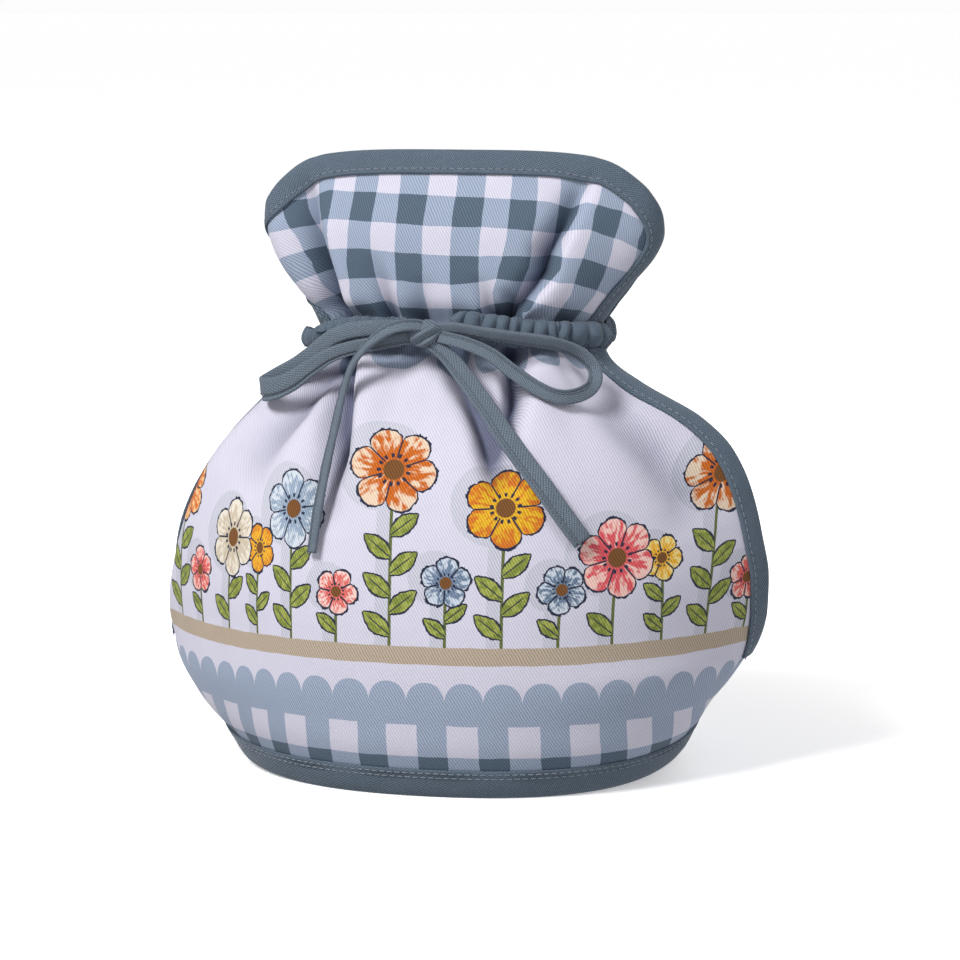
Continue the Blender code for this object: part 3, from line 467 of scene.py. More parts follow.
def checkUp(share, height):
    shares = [row[0] for row in frillUp]
    lines = [np.interp(share, shares, [row[k] for row in frillUp]) for k in range(1, 6)]
    first = checkStart[1]
    v = first + (height - lines[0]) * 1.03
    for k in range(4):
        t = (height - lines[k]) / (lines[k + 1] - lines[k])
        v = np.where(height > lines[k], first + checkSize[1] * (k + t), v)
    return np.where(height > lines[4], first + checkSize[1] * 4 + (height - lines[4]) * 1.03, v)


def meshPiece(name, vertices, faces, uv, extra=None):  # extra holds more values for each point, by name
    mesh = bpy.data.meshes.new(name)
    mesh.from_pydata((np.asarray(vertices) * mm).tolist(), [], faces)
    layer = mesh.uv_layers.new(name="clothMap")
    corner = np.zeros(len(mesh.loops), int)
    mesh.loops.foreach_get("vertex_index", corner)
    layer.data.foreach_set("uv", np.asarray(uv, np.float32)[corner].ravel())
    for label, values in (extra or {}).items():
        attribute = mesh.attributes.new(label, "FLOAT", "POINT")
        attribute.data.foreach_set("value", np.asarray(values, np.float32))
    work = bmesh.new()
    work.from_mesh(mesh)
    bmesh.ops.recalc_face_normals(work, faces=work.faces)
    work.to_mesh(mesh)
    work.free()
    mesh.shade_smooth()
    return placeObject(name, mesh)


def gridFaces(rows, columns, closedRows=False, closedColumns=False):
    i = np.arange(rows if closedRows else rows - 1)
    j = np.arange(columns if closedColumns else columns - 1)
    a, b = np.meshgrid(i, j, indexing="ij")
    a2, b2 = (a + 1) % rows, (b + 1) % columns
    quads = np.stack([a * columns + b, a * columns + b2, a2 * columns + b2, a2 * columns + b], -1)
    return quads.reshape(-1, 4).tolist()


def tubeFaces(stations, around):  # a tube with both ends closed
    faces = gridFaces(stations, around, closedColumns=True)
    faces.append(list(range(around)))
    faces.append([(stations - 1) * around + k for k in range(around - 1, -1, -1)])
    return faces


def ringMesh(ring, run, place):  # points and cloth map of a tube, from the lines that run along it
    uv = np.stack([np.repeat(run, len(ring)), np.tile(place, len(run))], 1)
    return np.stack(ring, 1).reshape(-1, 3), uv


front = PanelSurface(-1, frontCreases, 0.0)
back = PanelSurface(1, backCreases, 21.0)
print("tea cosy: draped surfaces measured")

panelMesh = {"rows": 176, "columns": 204, "foot": 2.6, "inset": 1.3}


def makePanel(name, panel, s):
    shape = cosyShape
    top = shape["topHeight"] - s["inset"]
    heights = np.linspace(s["foot"], top, s["rows"])
    grid = np.zeros((s["rows"], s["columns"], 2))
    cornerRight = panel.edgeShare(1, shape["cornerHeight"])
    cornerLeft = panel.edgeShare(-1, shape["cornerHeight"])
    for k, height in enumerate(heights):
        inset = s["inset"] * float(easeStep(height, shape["seamTop"] - 2.0, shape["seamTop"] + 4.0)) + 0.15
        right = panel.edgeShare(1, height) - inset / float(panel.length(1, height))
        left = panel.edgeShare(-1, height) + inset / float(panel.length(-1, height))
        share = np.linspace(left, right, s["columns"])
        along = np.abs(share) / np.where(share > 0, cornerRight, -cornerLeft)
        dip = (shape["topHeight"] - shape["cornerHeight"]) * np.clip(along, 0, 1) ** 4
        grid[k, :, 0] = share
        grid[k, :, 1] = height - dip * easeStep(height, 178.0, top)
    share, height = grid[..., 0].ravel(), grid[..., 1].ravel()
    spots, out = panel.point(share, height), panel.normal(share, height)
    count = len(share)
    reach = panel.length(share, height)
    seam = easeStep(np.abs(share) * reach, reach - 2.0, reach)
    seam = seam * (1 - easeStep(height, shape["seamTop"] - 3.0, shape["seamTop"] + 1.0))
    spots[:, 1] *= 1 - seam  # both panels meet in the side seam
    vertices = np.concatenate([spots + out * shape["clothHalf"], spots - out * shape["clothHalf"]])
    faces = gridFaces(s["rows"], s["columns"])
    faces += [[a + count for a in reversed(face)] for face in faces]
    wide, tall = s["columns"], s["rows"]
    rim = list(range(wide)) + [k * wide + wide - 1 for k in range(1, tall)]
    rim += [(tall - 1) * wide + k for k in range(wide - 2, -1, -1)]
    rim += [k * wide for k in range(tall - 2, 0, -1)]
    faces += [[a, a + count, b + count, b] for a, b in zip(rim, rim[1:] + rim[:1])]
    u, v = panel.flat(share, height)
    uv = np.stack([np.tile(u, 2), np.tile(v, 2)], 1)
    inside = np.concatenate([np.zeros(count), np.ones(count)])
    # fold goes to the material as the amount of painted shade in the creases and at the waist
    hang, fold = np.tile(panel.hang(share), 2), np.tile(panel.fold(share, height), 2)
    return meshPiece(name, vertices, faces, uv, {"inside": inside, "hang": hang, "fold": fold})


frontCloth = makePanel("frontPanelCloth", front, panelMesh)
backCloth = makePanel("backPanelCloth", back, panelMesh)
print("tea cosy: panels draped")

# Binding: how wide it shows, its wall's inner and outer distance from the cloth's middle, the spacing of
# its stations, and how far in from the edge it is stitched.
bindingLook = {"width": 7.4, "inner": 0.62, "outer": 1.35, "step": 1.3, "stitchIn": 5.9}


def makeBinding(name, panel, s):
    path = panel.outline(s["step"])
    widths = (0.0, 0.5, 1.6, 3.2, 4.8, s["stitchIn"], 6.7, s["width"])
    rings = {}
    for width in widths:
        at = panel.moveIn(path, width) if width > 0 else path
        rings[width] = (panel.point(at[:, 0], at[:, 1]), panel.normal(at[:, 0], at[:, 1]))
    edge, edgeOut = rings[0.0]
    outward = unit(edge - rings[1.6][0])
    swell = (0.0, 0.75, 1.0, 0.95, 0.75, 0.25, 0.45, 0.1)
    run = runAlong(edge)
    ripple = 0.10 * np.sin(run / 3.1) + 0.08 * np.sin(run / 5.3 + 1.0) + 0.06 * np.sin(run / 1.9 + 2.0)
    offs = [(s["outer"] + 0.42 * rise + ripple * rise)[:, None] for rise in swell]
    wall = [(*rings[width], off) for width, off in zip(widths, offs)]
    # outer face from its inner edge to the fold, the fold, the face inside, then the wall's inner side
    ring = [spot + out * off for spot, out, off in wall[::-1]]
    place = [-width for width in widths[::-1]]
    ring.append(edge + edgeOut * 0.9 + outward * 0.45)
    ring.append(edge + outward * 0.7)
    ring.append(edge - edgeOut * 0.9 + outward * 0.45)
    place += [0.5, 1.2, 1.9]
    ring += [spot - out * off for spot, out, off in wall]
    place += [2.4 + width for width in widths]
    for width, side in ((s["width"], -1), (3.2, -1), (1.6, -1), (1.6, 1), (3.2, 1), (s["width"], 1)):
        spot, out = rings[width]
        ring.append(spot + out * side * s["inner"])
        place.append(12.0 if side < 0 else -8.0)
    vertices, uv = ringMesh(ring, run, place)
    piece = meshPiece(name, vertices, tubeFaces(len(path), len(ring)), uv)
    spot, out = rings[s["stitchIn"]]
    seams = [spot + out * (s["outer"] + 0.16), spot - out * (s["outer"] + 0.16)]
    return piece, seams, run[-1]


frontBinding, frontSeams, frontBindingLength = makeBinding("frontBindingCloth", front, bindingLook)
backBinding, backSeams, backBindingLength = makeBinding("backBindingCloth", back, bindingLook)
print("tea cosy: openings bound")

# Hem: how deep it shows, its wall as above, and how far below its top the two lines of stitches run.
hemLook = {"depth": 9.3, "inner": 0.66, "outer": 1.45, "step": 1.4, "stitchDown": (1.2, 2.6)}


def makeHem(s):
    halves = []
    for panel, way in ((front, 1), (back, -1)):
        count = int(round(2 * float(panel.length(1, 0.0)) / s["step"]))
        halves.append((panel, way * np.linspace(-1.0, 1.0, count)[:-1]))

    def goRound(height):  # points once round at this height, how they face, and the same made level
        spots, outs = [], []
        for panel, share in halves:
            level = np.full(len(share), height)
            spots.append(panel.smooth(share, level))
            outs.append(panel.normalOf(panel.smooth, share, level))
        out = np.concatenate(outs)
        return np.concatenate(spots), out, unit(out * np.array([1.0, 1.0, 0.0]))

    heights = (0.0, 0.5, 1.6, 3.4, 5.4, 7.0, 8.2, 9.0, s["depth"])
    swell = (-0.75, 0.1, 0.55, 0.75, 0.6, 0.3, 0.4, 0.2, -0.3)
    rings = {}
    for height in heights:
        spot, out, level = goRound(height)
        rings[height] = (spot, level / np.maximum(np.hypot(out[:, :1], out[:, 1:2]), 0.6))
    run = runAlong(rings[0.0][0])
    ripple = 0.12 * np.sin(run / 3.7) + 0.10 * np.sin(run / 6.1 + 1.0)
    offs = [(s["outer"] + 0.55 * rise + ripple * (rise > 0.2))[:, None] for rise in swell]
    wall = [(*rings[height], off) for height, off in zip(heights, offs)]
    ring = [spot + out * off for spot, out, off in wall[::-1]]
    place = [-height for height in heights[::-1]]
    ring += [spot - out * off for spot, out, off in wall]
    place += [2.0 + height for height in heights]
    for height, side in ((9.0, -1), (3.4, -1), (1.6, -1), (1.6, 1), (3.4, 1), (9.0, 1)):
        spot, out = rings[height]
        ring.append(spot + out * side * s["inner"])
        place.append(14.0 if side < 0 else -11.0)
    vertices, uv = ringMesh(ring, run, place)
    vertices[:, 2] = np.maximum(vertices[:, 2], 0.0)
    faces = gridFaces(len(run), len(ring), closedRows=True, closedColumns=True)
    piece = meshPiece("hemBindingCloth", vertices, faces, uv)
    seams = []
    for down in s["stitchDown"]:
        spot, _, level = goRound(s["depth"] - down)
        line = spot + level * (s["outer"] + 0.42)
        seams.append(np.concatenate([line, line[:1]]))
    return piece, seams, run[-1]


hemBinding, hemSeams, hemLength = makeHem(hemLook)
print("tea cosy: hem bound")

# Casing: gathered strips round the waist. half is half its height, lip how far its edges stand off, bulge
# its rise over the tie, puff that of its puckers and ruffle their spacing; slot is left free for the knot.
casingLook = {
    "half": 4.6, "lip": 1.3, "bulge": 2.0, "puff": 3.1, "ruffle": 4.3, "wall": 0.6, "overhang": 4.2,
    "slot": (-10.7, -1.2), "step": 0.3,
}


def waistFrame(panel, share, dz):
    share = np.asarray(share, float)
    inside = np.clip(share, -1.0, 1.0)
    sag = np.where(share > 0, cosyShape["waistSagRight"], cosyShape["waistSagLeft"]) * inside**4
    height = cosyShape["waist"] + dz - sag
    spot = panel.smooth(inside, height)
    out = panel.normalOf(panel.smooth, inside, height)
    behind = panel.smooth(inside * 0.96, height)
    past = (np.abs(share) - np.abs(inside)) * panel.length(share, cosyShape["waist"])
    return spot + unit(spot - behind) * past[..., None], out


def makeCasing(name, panel, low, high, seed, rise, s):
    rng = np.random.default_rng(seed)
    total = float(panel.length(1, cosyShape["waist"]))
    count = int(round((high - low) * total / s["step"]))
    share = np.linspace(low, high, count)
    along = (share - low) * total
    starts = [0.0]
    while starts[-1] < along[-1] + s["ruffle"]:
        starts.append(starts[-1] + s["ruffle"] * rng.uniform(0.65, 1.4))
    starts = np.array(starts)
    tall = rng.uniform(0.7, 1.15, len(starts))
    lean = rng.uniform(-0.9, 0.9, len(starts))
    fromEnd = np.minimum(along, along[-1] - along)
    ends = easeStep(fromEnd, 0.2, 2.5)
    outwards = np.where(along < along[-1] / 2, -1.0, 1.0)
    upper = np.array([0.12, 0.36, 0.58, 0.76, 0.9, 0.98, 1.0])
    levels = np.concatenate([-upper[::-1], upper])  # from the lower lip to the upper one
    outer, inner = [], []
    for level in levels:
        slid = along + lean[np.clip(np.searchsorted(starts, along) - 1, 0, len(starts) - 1)] * level
        cell = np.clip(np.searchsorted(starts, slid, side="right") - 1, 0, len(starts) - 2)
        phase = np.clip((slid - starts[cell]) / (starts[cell + 1] - starts[cell]), 0, 1)
        puff = np.sin(math.pi * phase) ** 0.42 * tall[cell]
        crown = math.sqrt(max(0.0, 1 - abs(level) ** 2.6))
        wobble = 0.9 * (puff - 0.5) * np.sign(level) * abs(level) ** 2 + 0.3 * np.sin(along / 5.2 + seed)
        off = s["lip"] + s["bulge"] * crown * (0.5 + 0.5 * ends)
        off = off + s["puff"] * puff * ends * (0.35 + 0.65 * crown)
        pulled = share - outwards * (1 - easeStep(fromEnd, 0.0, 9.0)) * 2.8 * abs(level) ** 1.5 / total
        spot, out = waistFrame(panel, pulled, level * s["half"] + wobble * ends)
        lifted = rise[0] * np.exp(-(((along - 4.0) / 12.0) ** 2)) * (0.6 + 0.4 * level)
        lifted = lifted + rise[1] * np.exp(-(((along[-1] - along) / 7.0) ** 2)) * (0.7 + 0.3 * level)
        spot = spot + np.stack([0 * lifted, 0 * lifted, lifted], 1)
        outer.append(spot + out * (off + s["wall"] / 2)[:, None])
        inner.append(spot + out * (off - s["wall"] / 2)[:, None])
    ring = outer + inner[::-1]
    run = runAlong(outer[6])  # along the puckers, near the middle of the strip
    place = np.concatenate([levels, levels[::-1] + 3]) * 6.5
    vertices, uv = ringMesh(ring, run, place)
    piece = meshPiece(name, vertices, tubeFaces(count, len(ring)), uv)
    inset = int(1.4 / s["step"])
    seams = [np.array([row[k] for row in outer[1:-1]]) for k in (inset, count - 1 - inset)]
    return piece, seams, run[-1]


waistLength = float(front.length(1, cosyShape["waist"]))
casingOver = casingLook["overhang"] / waistLength
slotLow, slotHigh = (front.shareAt(x, cosyShape["waist"]) for x in casingLook["slot"])
casingLeft, leftEnds, leftLength = makeCasing(
    "frontCasingLeftCloth", front, -1 - casingOver, slotLow, 3, (-1.6, 0.0), casingLook)
casingRight, rightEnds, rightLength = makeCasing(
    "frontCasingRightCloth", front, slotHigh, 1 + casingOver, 5, (1.8, -1.6), casingLook)
casingBack, backEnds, backLength = makeCasing(
    "backCasingCloth", back, -1 - casingOver, 1 + casingOver, 8, (0.0, 0.0), casingLook)
print("tea cosy: casing gathered")

# The tie: each strand's line as across, height, distance forward, width, twist in degrees.
tieLook = {
    "thick": 1.25,
    "step": 1.0,
    "knotAt": (-6.4, -33.2, 139.4),
    "knotDepth": 6.6,
    "knotOutline": (
        (-5.6, -0.2), (-4.4, 1.8), (-2.0, 3.2), (2.8, 3.8), (5.4, 1.6), (4.2, -1.0), (2.0, -3.3),
        (-4.6, -2.7),
    ),
    "leftLoop": (
        (-8.0, 140.6, 31.6, 4.2, 4.0), (-14.6, 141.0, 31.6, 4.4, 4.0), (-22.6, 140.5, 31.0, 4.8, 6.0),
        (-30.9, 139.4, 29.6, 5.0, 8.0), (-37.4, 136.7, 27.5, 5.0, 8.0), (-43.4, 132.0, 25.2, 5.2, 6.0),
        (-49.3, 127.3, 23.6, 6.0, 3.0), (-55.2, 123.4, 23.4, 7.0, 0.0), (-59.0, 120.8, 23.8, 7.6, 0.0),
        (-59.9, 120.3, 26.0, 7.8, 0.0), (-57.9, 120.4, 29.2, 7.6, 0.0), (-54.2, 121.2, 31.0, 7.0, 0.0),
        (-48.9, 123.6, 31.8, 6.2, 2.0), (-42.9, 127.8, 32.8, 5.2, 4.0), (-36.3, 132.0, 33.6, 4.7, 6.0),
        (-29.2, 134.5, 34.3, 4.5, 8.0), (-20.9, 136.2, 34.6, 4.4, 8.0), (-13.5, 137.7, 34.0, 4.3, 6.0),
        (-8.0, 138.6, 33.0, 4.2, 4.0),
    ),
    "rightLoop": (
        (-4.0, 140.6, 33.0, 3.8, 20.0), (2.0, 141.2, 33.6, 4.0, 26.0), (10.4, 140.0, 33.6, 4.2, 30.0),
        (19.0, 138.8, 33.0, 4.4, 30.0), (32.0, 136.8, 29.6, 4.6, 28.0), (40.0, 133.4, 25.4, 4.6, 22.0),
        (44.8, 128.6, 25.0, 4.6, 14.0), (45.0, 124.0, 28.4, 4.6, 6.0), (41.6, 121.6, 33.6, 4.6, 6.0),
        (36.0, 121.2, 37.0, 4.6, 14.0), (29.5, 123.6, 37.6, 4.6, 22.0), (21.4, 128.6, 36.6, 4.6, 26.0),
        (14.5, 133.6, 36.2, 4.4, 26.0), (6.5, 136.8, 35.6, 4.2, 20.0), (-2.0, 138.6, 33.8, 3.8, 12.0),
    ),
    "leftTail": (
        (-5.0, 141.2, 34.0, 3.6, 10.0), (-10.0, 142.2, 36.0, 3.8, 18.0), (-16.3, 141.0, 37.4, 4.0, 26.0),
        (-22.7, 136.6, 38.6, 4.0, 30.0), (-27.3, 131.0, 39.4, 3.8, 32.0), (-29.8, 125.0, 39.6, 3.8, 34.0),
        (-31.2, 118.6, 41.8, 3.8, 34.0), (-32.0, 111.5, 45.8, 3.8, 32.0), (-32.9, 104.0, 50.2, 3.8, 28.0),
        (-34.0, 94.0, 55.2, 3.8, 24.0), (-35.0, 84.4, 58.8, 3.8, 20.0), (-35.8, 75.0, 61.4, 3.2, 16.0),
    ),
    "rightTail": (
        (-4.6, 136.8, 33.6, 4.4, 0.0), (1.0, 132.4, 34.4, 5.2, 0.0), (7.6, 125.4, 37.2, 6.0, 0.0),
        (15.0, 117.4, 42.6, 6.2, 0.0), (22.8, 108.4, 48.6, 6.4, 0.0), (32.9, 97.2, 53.8, 6.4, 0.0),
        (40.8, 87.2, 55.8, 6.4, 0.0), (46.3, 80.0, 55.8, 6.2, 0.0),
    ),
}


def strandRoute(rows, step):
    rows = np.array(rows)
    points = np.stack([rows[:, 0], -rows[:, 2], rows[:, 1]], 1)
    dense, facts = [], []
    for i in range(len(points) - 1):
        before, after = points[max(i - 1, 0)], points[min(i + 2, len(points) - 1)]
        for t in np.linspace(0.0, 1.0, 24, endpoint=False):
            dense.append(0.5 * (
                2 * points[i] + (points[i + 1] - before) * t
                + (2 * before - 5 * points[i] + 4 * points[i + 1] - after) * t**2
                + (3 * points[i] - before - 3 * points[i + 1] + after) * t**3
            ))
            facts.append(rows[i, 3:] + (rows[i + 1, 3:] - rows[i, 3:]) * t)
    dense.append(points[-1])
    facts.append(rows[-1, 3:])
    dense, facts = np.array(dense), np.array(facts)
    run = runAlong(dense)
    even = np.linspace(0.0, run[-1], int(round(run[-1] / step)) + 1)
    route = np.stack([np.interp(even, run, dense[:, k]) for k in range(3)], 1)
    return route, np.interp(even, run, facts[:, 0]), np.radians(np.interp(even, run, facts[:, 1])), even


def makeStrand(rows, lying, across, thick, step):
    route, widths, twists, run = strandRoute(rows, step)
    tangent = unit(np.gradient(route, axis=0))
    outward = np.tile(np.array([0.0, -1.0, 0.0]), (len(route), 1))
    if lying:
        for k, spot in enumerate(route):
            share = front.shareAt(spot[0], spot[2])
            outward[k] = front.normalOf(front.smooth, np.array([share]), np.array([spot[2]]))[0]
    side = np.cross(outward, tangent)
    if across is not None:
        line = np.array(across)
        side = line - tangent * (tangent @ line)[:, None]
    side = unit(side)
    face = np.cross(tangent, side)
    turned = side * np.cos(twists)[:, None] + face * np.sin(twists)[:, None]
    up = np.cross(tangent, turned)
    half = widths / 2
    fatness = thick / 2 * (1 + 0.10 * np.sin(run / 2.3) + 0.06 * np.sin(run / 1.1 + 1))
    # outline of the folded strip: across as a share of half the width, and thickness as a share of half
    outline = (
        (-1.0, 0.0), (-0.97, 0.7), (-0.85, 1.0), (-0.68, 0.9), (-0.61, 0.35), (-0.55, 0.35), (-0.5, 1.05),
        (-0.3, 1.15), (0.1, 1.12), (0.5, 1.05), (0.85, 1.0), (0.97, 0.7), (1.0, 0.0), (0.97, -0.7),
        (0.85, -1.0), (0.3, -1.05), (-0.3, -1.05), (-0.85, -1.0), (-0.97, -0.7),
    )
    ring = [route + turned * (half * a)[:, None] + up * (fatness * b)[:, None] for a, b in outline]
    place = np.cumsum([0.0] + [math.dist(a, b) * 2.4 for a, b in zip(outline, outline[1:])])
    vertices, uv = ringMesh(ring, run, place)
    seam = route + turned * (half * -0.38)[:, None] + up * (fatness * 1.16)[:, None]
    return vertices, tubeFaces(len(route), len(ring)), uv, seam, run[-1]


def makeKnot(s):  # a wrapped fold of ribbon with a slanting outline, seen from the front
    corner = np.array(s["knotOutline"])
    angle = np.arctan2(corner[:, 1], corner[:, 0])
    order = np.argsort(angle)
    turn = np.linspace(-math.pi, math.pi, 64, endpoint=False)
    reach = np.hypot(corner[:, 0], corner[:, 1])[order]
    wide = np.interp(turn, angle[order], reach, period=2 * math.pi)
    wide = (np.roll(wide, 1) + 2 * wide + np.roll(wide, -1)) / 4
    rings, place = [], []
    for side in (-1, 1):
        levels = np.sin(np.linspace(0.03, math.pi / 2, 16))
        for level in levels if side < 0 else levels[::-1][1:]:
            x, z = np.cos(turn) * wide * level, np.sin(turn) * wide * level
            slant = z * 0.86 - x * 0.5  # creases run from the lower left to the upper right
            fold = 0.45 * np.sin(slant * 1.7 + 0.8) - 0.7 * np.exp(-(((slant - 1.1) / 0.35) ** 2))
            fold -= 0.8 * np.exp(-(((slant + 1.6) / 0.3) ** 2))
            thick = s["knotDepth"] / 2 * (1 - level**3.2) ** 0.5
            y = side * (thick + fold * (1 - level**6) * (1 if side < 0 else 0))
            rings.append(np.stack([x, y, z], 1))
            place.append(np.stack([x, z], 1))
    points = np.concatenate(rings) + np.array(s["knotAt"])
    return points, tubeFaces(len(rings), len(turn)), np.concatenate(place)


def makeTie(s):
    parts, seams, length = [], [], 0.0
    strands = (
        ("leftLoop", False, (-0.12, 0.0, 0.99)), ("rightLoop", False, None),
        ("leftTail", True, None), ("rightTail", True, None),
    )
    for name, lying, across in strands:
        vertices, faces, uv, seam, run = makeStrand(s[name], lying, across, s["thick"], s["step"])
        parts.append((vertices, faces, uv))
        seams.append(seam)
        length += run
    parts.append(makeKnot(s))
    faces, start = [], 0
    for vertices, mine, _ in parts:
        faces += [[a + start for a in face] for face in mine]
        start += len(vertices)
    vertices, uv = np.concatenate([part[0] for part in parts]), np.concatenate([part[2] for part in parts])
    return meshPiece("tieRibbon", vertices, faces, uv), seams, length


tieRibbon, tieSeams, tieLength = makeTie(tieLook)
print("tea cosy: tie knotted")

# Stitches run along the seam lines; sizes in metres.
stitchLook = {"pitch": 0.0024, "length": 0.00236, "thread": 0.0002}


def stitchTree():
    tree = bpy.data.node_groups.new("stitchRun", "GeometryNodeTree")
    face = tree.interface
    face.new_socket(name="Geometry", in_out="INPUT", socket_type="NodeSocketGeometry")
    for label, value in (("Pitch", 0.0013), ("Stitch length", 0.001), ("Thread radius", 0.00015)):
        socket = face.new_socket(name=label, in_out="INPUT", socket_type="NodeSocketFloat")
        socket.default_value = value
    face.new_socket(name="Thread", in_out="INPUT", socket_type="NodeSocketMaterial")
    face.new_socket(name="Geometry", in_out="OUTPUT", socket_type="NodeSocketGeometry")
    add = tree.nodes.new
    source, result = add("NodeGroupInput"), add("NodeGroupOutput")
    curve = add("GeometryNodeMeshToCurve")
    spaced = add("GeometryNodeResampleCurve")
    spaced.mode = "LENGTH"
    tangent = add("GeometryNodeInputTangent")
    aim = add("FunctionNodeAlignRotationToVector")
    aim.axis = "Z"
    bead = add("GeometryNodeMeshUVSphere")
    bead.inputs["Segments"].default_value = 6
    bead.inputs["Rings"].default_value = 6
    bead.inputs["Radius"].default_value = 1.0
    where, parts = add("GeometryNodeInputPosition"), add("ShaderNodeSeparateXYZ")
    marked = add("GeometryNodeStoreNamedAttribute")
    marked.inputs["Name"].default_value = "along"
    half = add("ShaderNodeMath")
    half.operation = "MULTIPLY"
    half.inputs[1].default_value = 0.5
    size = add("ShaderNodeCombineXYZ")
    placed = add("GeometryNodeInstanceOnPoints")
    real = add("GeometryNodeRealizeInstances")
    smooth = add("GeometryNodeSetShadeSmooth")
    painted = add("GeometryNodeSetMaterial")
    for start, given, end, taken in (
        (source, "Geometry", curve, "Mesh"), (curve, "Curve", spaced, "Curve"),
        (source, "Pitch", spaced, "Length"), (source, "Stitch length", half, 0),
        (source, "Thread radius", size, "X"), (source, "Thread radius", size, "Y"), (half, 0, size, "Z"),
        (tangent, "Tangent", aim, "Vector"), (spaced, "Curve", placed, "Points"),
        (where, "Position", parts, "Vector"), (bead, "Mesh", marked, "Geometry"),
        (parts, "Z", marked, "Value"), (marked, "Geometry", placed, "Instance"),
        (aim, "Rotation", placed, "Rotation"), (size, "Vector", placed, "Scale"),
        (placed, "Instances", real, "Geometry"), (real, "Geometry", smooth, "Geometry"),
        (smooth, "Geometry", painted, "Geometry"), (source, "Thread", painted, "Material"),
        (painted, "Geometry", result, "Geometry"),
    ):
        tree.links.new(start.outputs[given], end.inputs[taken])
    return tree


def makeStitches(name, lines, tree, thread, s):
    vertices, edges, start = [], [], 0
    for line in lines:
        vertices += (np.asarray(line) * mm).tolist()
        edges += [(start + k, start + k + 1) for k in range(len(line) - 1)]
        start += len(line)
    guide = bpy.data.meshes.new(name + "Guide")
    guide.from_pydata(vertices, edges, [])
    holder = placeObject(name + "Guide", guide)
    sewn = holder.modifiers.new("stitchRun", "NODES")
    sewn.node_group = tree
    values = {
        "Pitch": s["pitch"], "Stitch length": s["length"], "Thread radius": s["thread"], "Thread": thread,
    }
    for item in tree.interface.items_tree:
        if item.item_type == "SOCKET" and item.in_out == "INPUT" and item.name in values:
            sewn[item.identifier] = values[item.name]
    bpy.context.view_layer.update()
    whole = holder.evaluated_get(bpy.context.evaluated_depsgraph_get())
    mesh = bpy.data.meshes.new_from_object(whole)
    holder.modifiers.remove(sewn)
    bpy.data.objects.remove(holder)
    mesh.name = name
    return placeObject(name, mesh)


class NodeWork:  # short ways to add nodes to one tree
    def __init__(self, tree):
        self.tree = tree

    def add(self, kind, **settings):
        node = self.tree.nodes.new(kind)
        for label, value in settings.items():
            setattr(node, label, value)
        return node

    def put(self, socket, value):
        if isinstance(value, bpy.types.NodeSocket):
            self.tree.links.new(value, socket)
        elif value is not None:
            socket.default_value = value

    def math(self, operation, a, b=None, c=None):
        node = self.add("ShaderNodeMath", operation=operation)
        for k, value in enumerate((a, b, c)):
            self.put(node.inputs[k], value)
        return node.outputs[0]

    def plus(self, a, b):
        return self.math("ADD", a, b)

    def minus(self, a, b):
        return self.math("SUBTRACT", a, b)

    def times(self, a, b):
        return self.math("MULTIPLY", a, b)

    def over(self, a, b):
        return self.math("DIVIDE", a, b)

    def scaled(self, value, factor, offset):  # value times factor, plus offset
        return self.math("MULTIPLY_ADD", value, factor, offset)

    def size(self, value):  # without its sign
        return self.math("ABSOLUTE", value)

    def wrap(self, value, period):  # what is left over from whole periods
        return self.math("FLOORED_MODULO", value, period)

    def span(self, a, b):  # length of the line whose sides are a and b
        return self.math("SQRT", self.plus(self.times(a, a), self.times(b, b)))

    def step(self, value, low, high):  # 0 below low, 1 above high, smooth between
        node = self.add("ShaderNodeMapRange", interpolation_type="SMOOTHSTEP", clamp=True)
        for label, number in (("Value", value), ("From Min", low), ("From Max", high)):
            self.put(node.inputs[label], number)
        return node.outputs["Result"]

    def below(self, value, edge, soft=0.12):  # 1 where value is less than edge
        if isinstance(edge, (int, float)):
            return self.step(value, edge + soft, edge - soft)
        return self.step(self.minus(value, edge), soft, -soft)

    def mix(self, amount, first, second, kind="MIX"):
        node = self.add("ShaderNodeMix", data_type="RGBA", blend_type=kind, clamp_factor=True)
        self.put(node.inputs[0], amount)
        self.put(node.inputs[6], first)
        self.put(node.inputs[7], second)
        return node.outputs[2]

    def noise(self, vector, scale, detail=2.0, rough=0.5):
        node = self.add("ShaderNodeTexNoise")
        self.put(node.inputs["Vector"], vector)
        node.inputs["Scale"].default_value = scale
        node.inputs["Detail"].default_value = detail
        node.inputs["Roughness"].default_value = rough
        return node.outputs["Fac"]

    def vector(self, x, y, z=0.0):
        node = self.add("ShaderNodeCombineXYZ")
        for k, value in enumerate((x, y, z)):
            self.put(node.inputs[k], value)
        return node.outputs[0]

    def ramp(self, factor, stops):  # each colour holds from its stop to the next
        node = self.add("ShaderNodeValToRGB")
        node.color_ramp.interpolation = "CONSTANT"
        items = node.color_ramp.elements
        for k, (at, colour) in enumerate(stops):
            item = items[k] if k < 2 else items.new(at)
            item.position = at
            item.color = (*colour[:3], 1.0)
        self.put(node.inputs[0], factor)
        return node.outputs[0]

    def attribute(self, name):
        return self.add("ShaderNodeAttribute", attribute_name=name).outputs["Fac"]

    def clothMap(self):  # the cloth map, and its two directions in mm
        place = self.add("ShaderNodeUVMap", uv_map="clothMap").outputs[0]
        parts = self.add("ShaderNodeSeparateXYZ")
        self.put(parts.inputs[0], place)
        return place, parts.outputs[0], parts.outputs[1]

    def surface(self, shader):
        out = self.add("ShaderNodeOutputMaterial")
        self.tree.links.new(shader.outputs[0], out.inputs["Surface"])


def tone(red, green, blue, lamps=1.33):  # a seen colour as the cloth's own, under lamps of that strength
    return tuple(((c / 255 + 0.055) / 1.055) ** 2.4 / lamps for c in (red, green, blue)) + (1.0,)


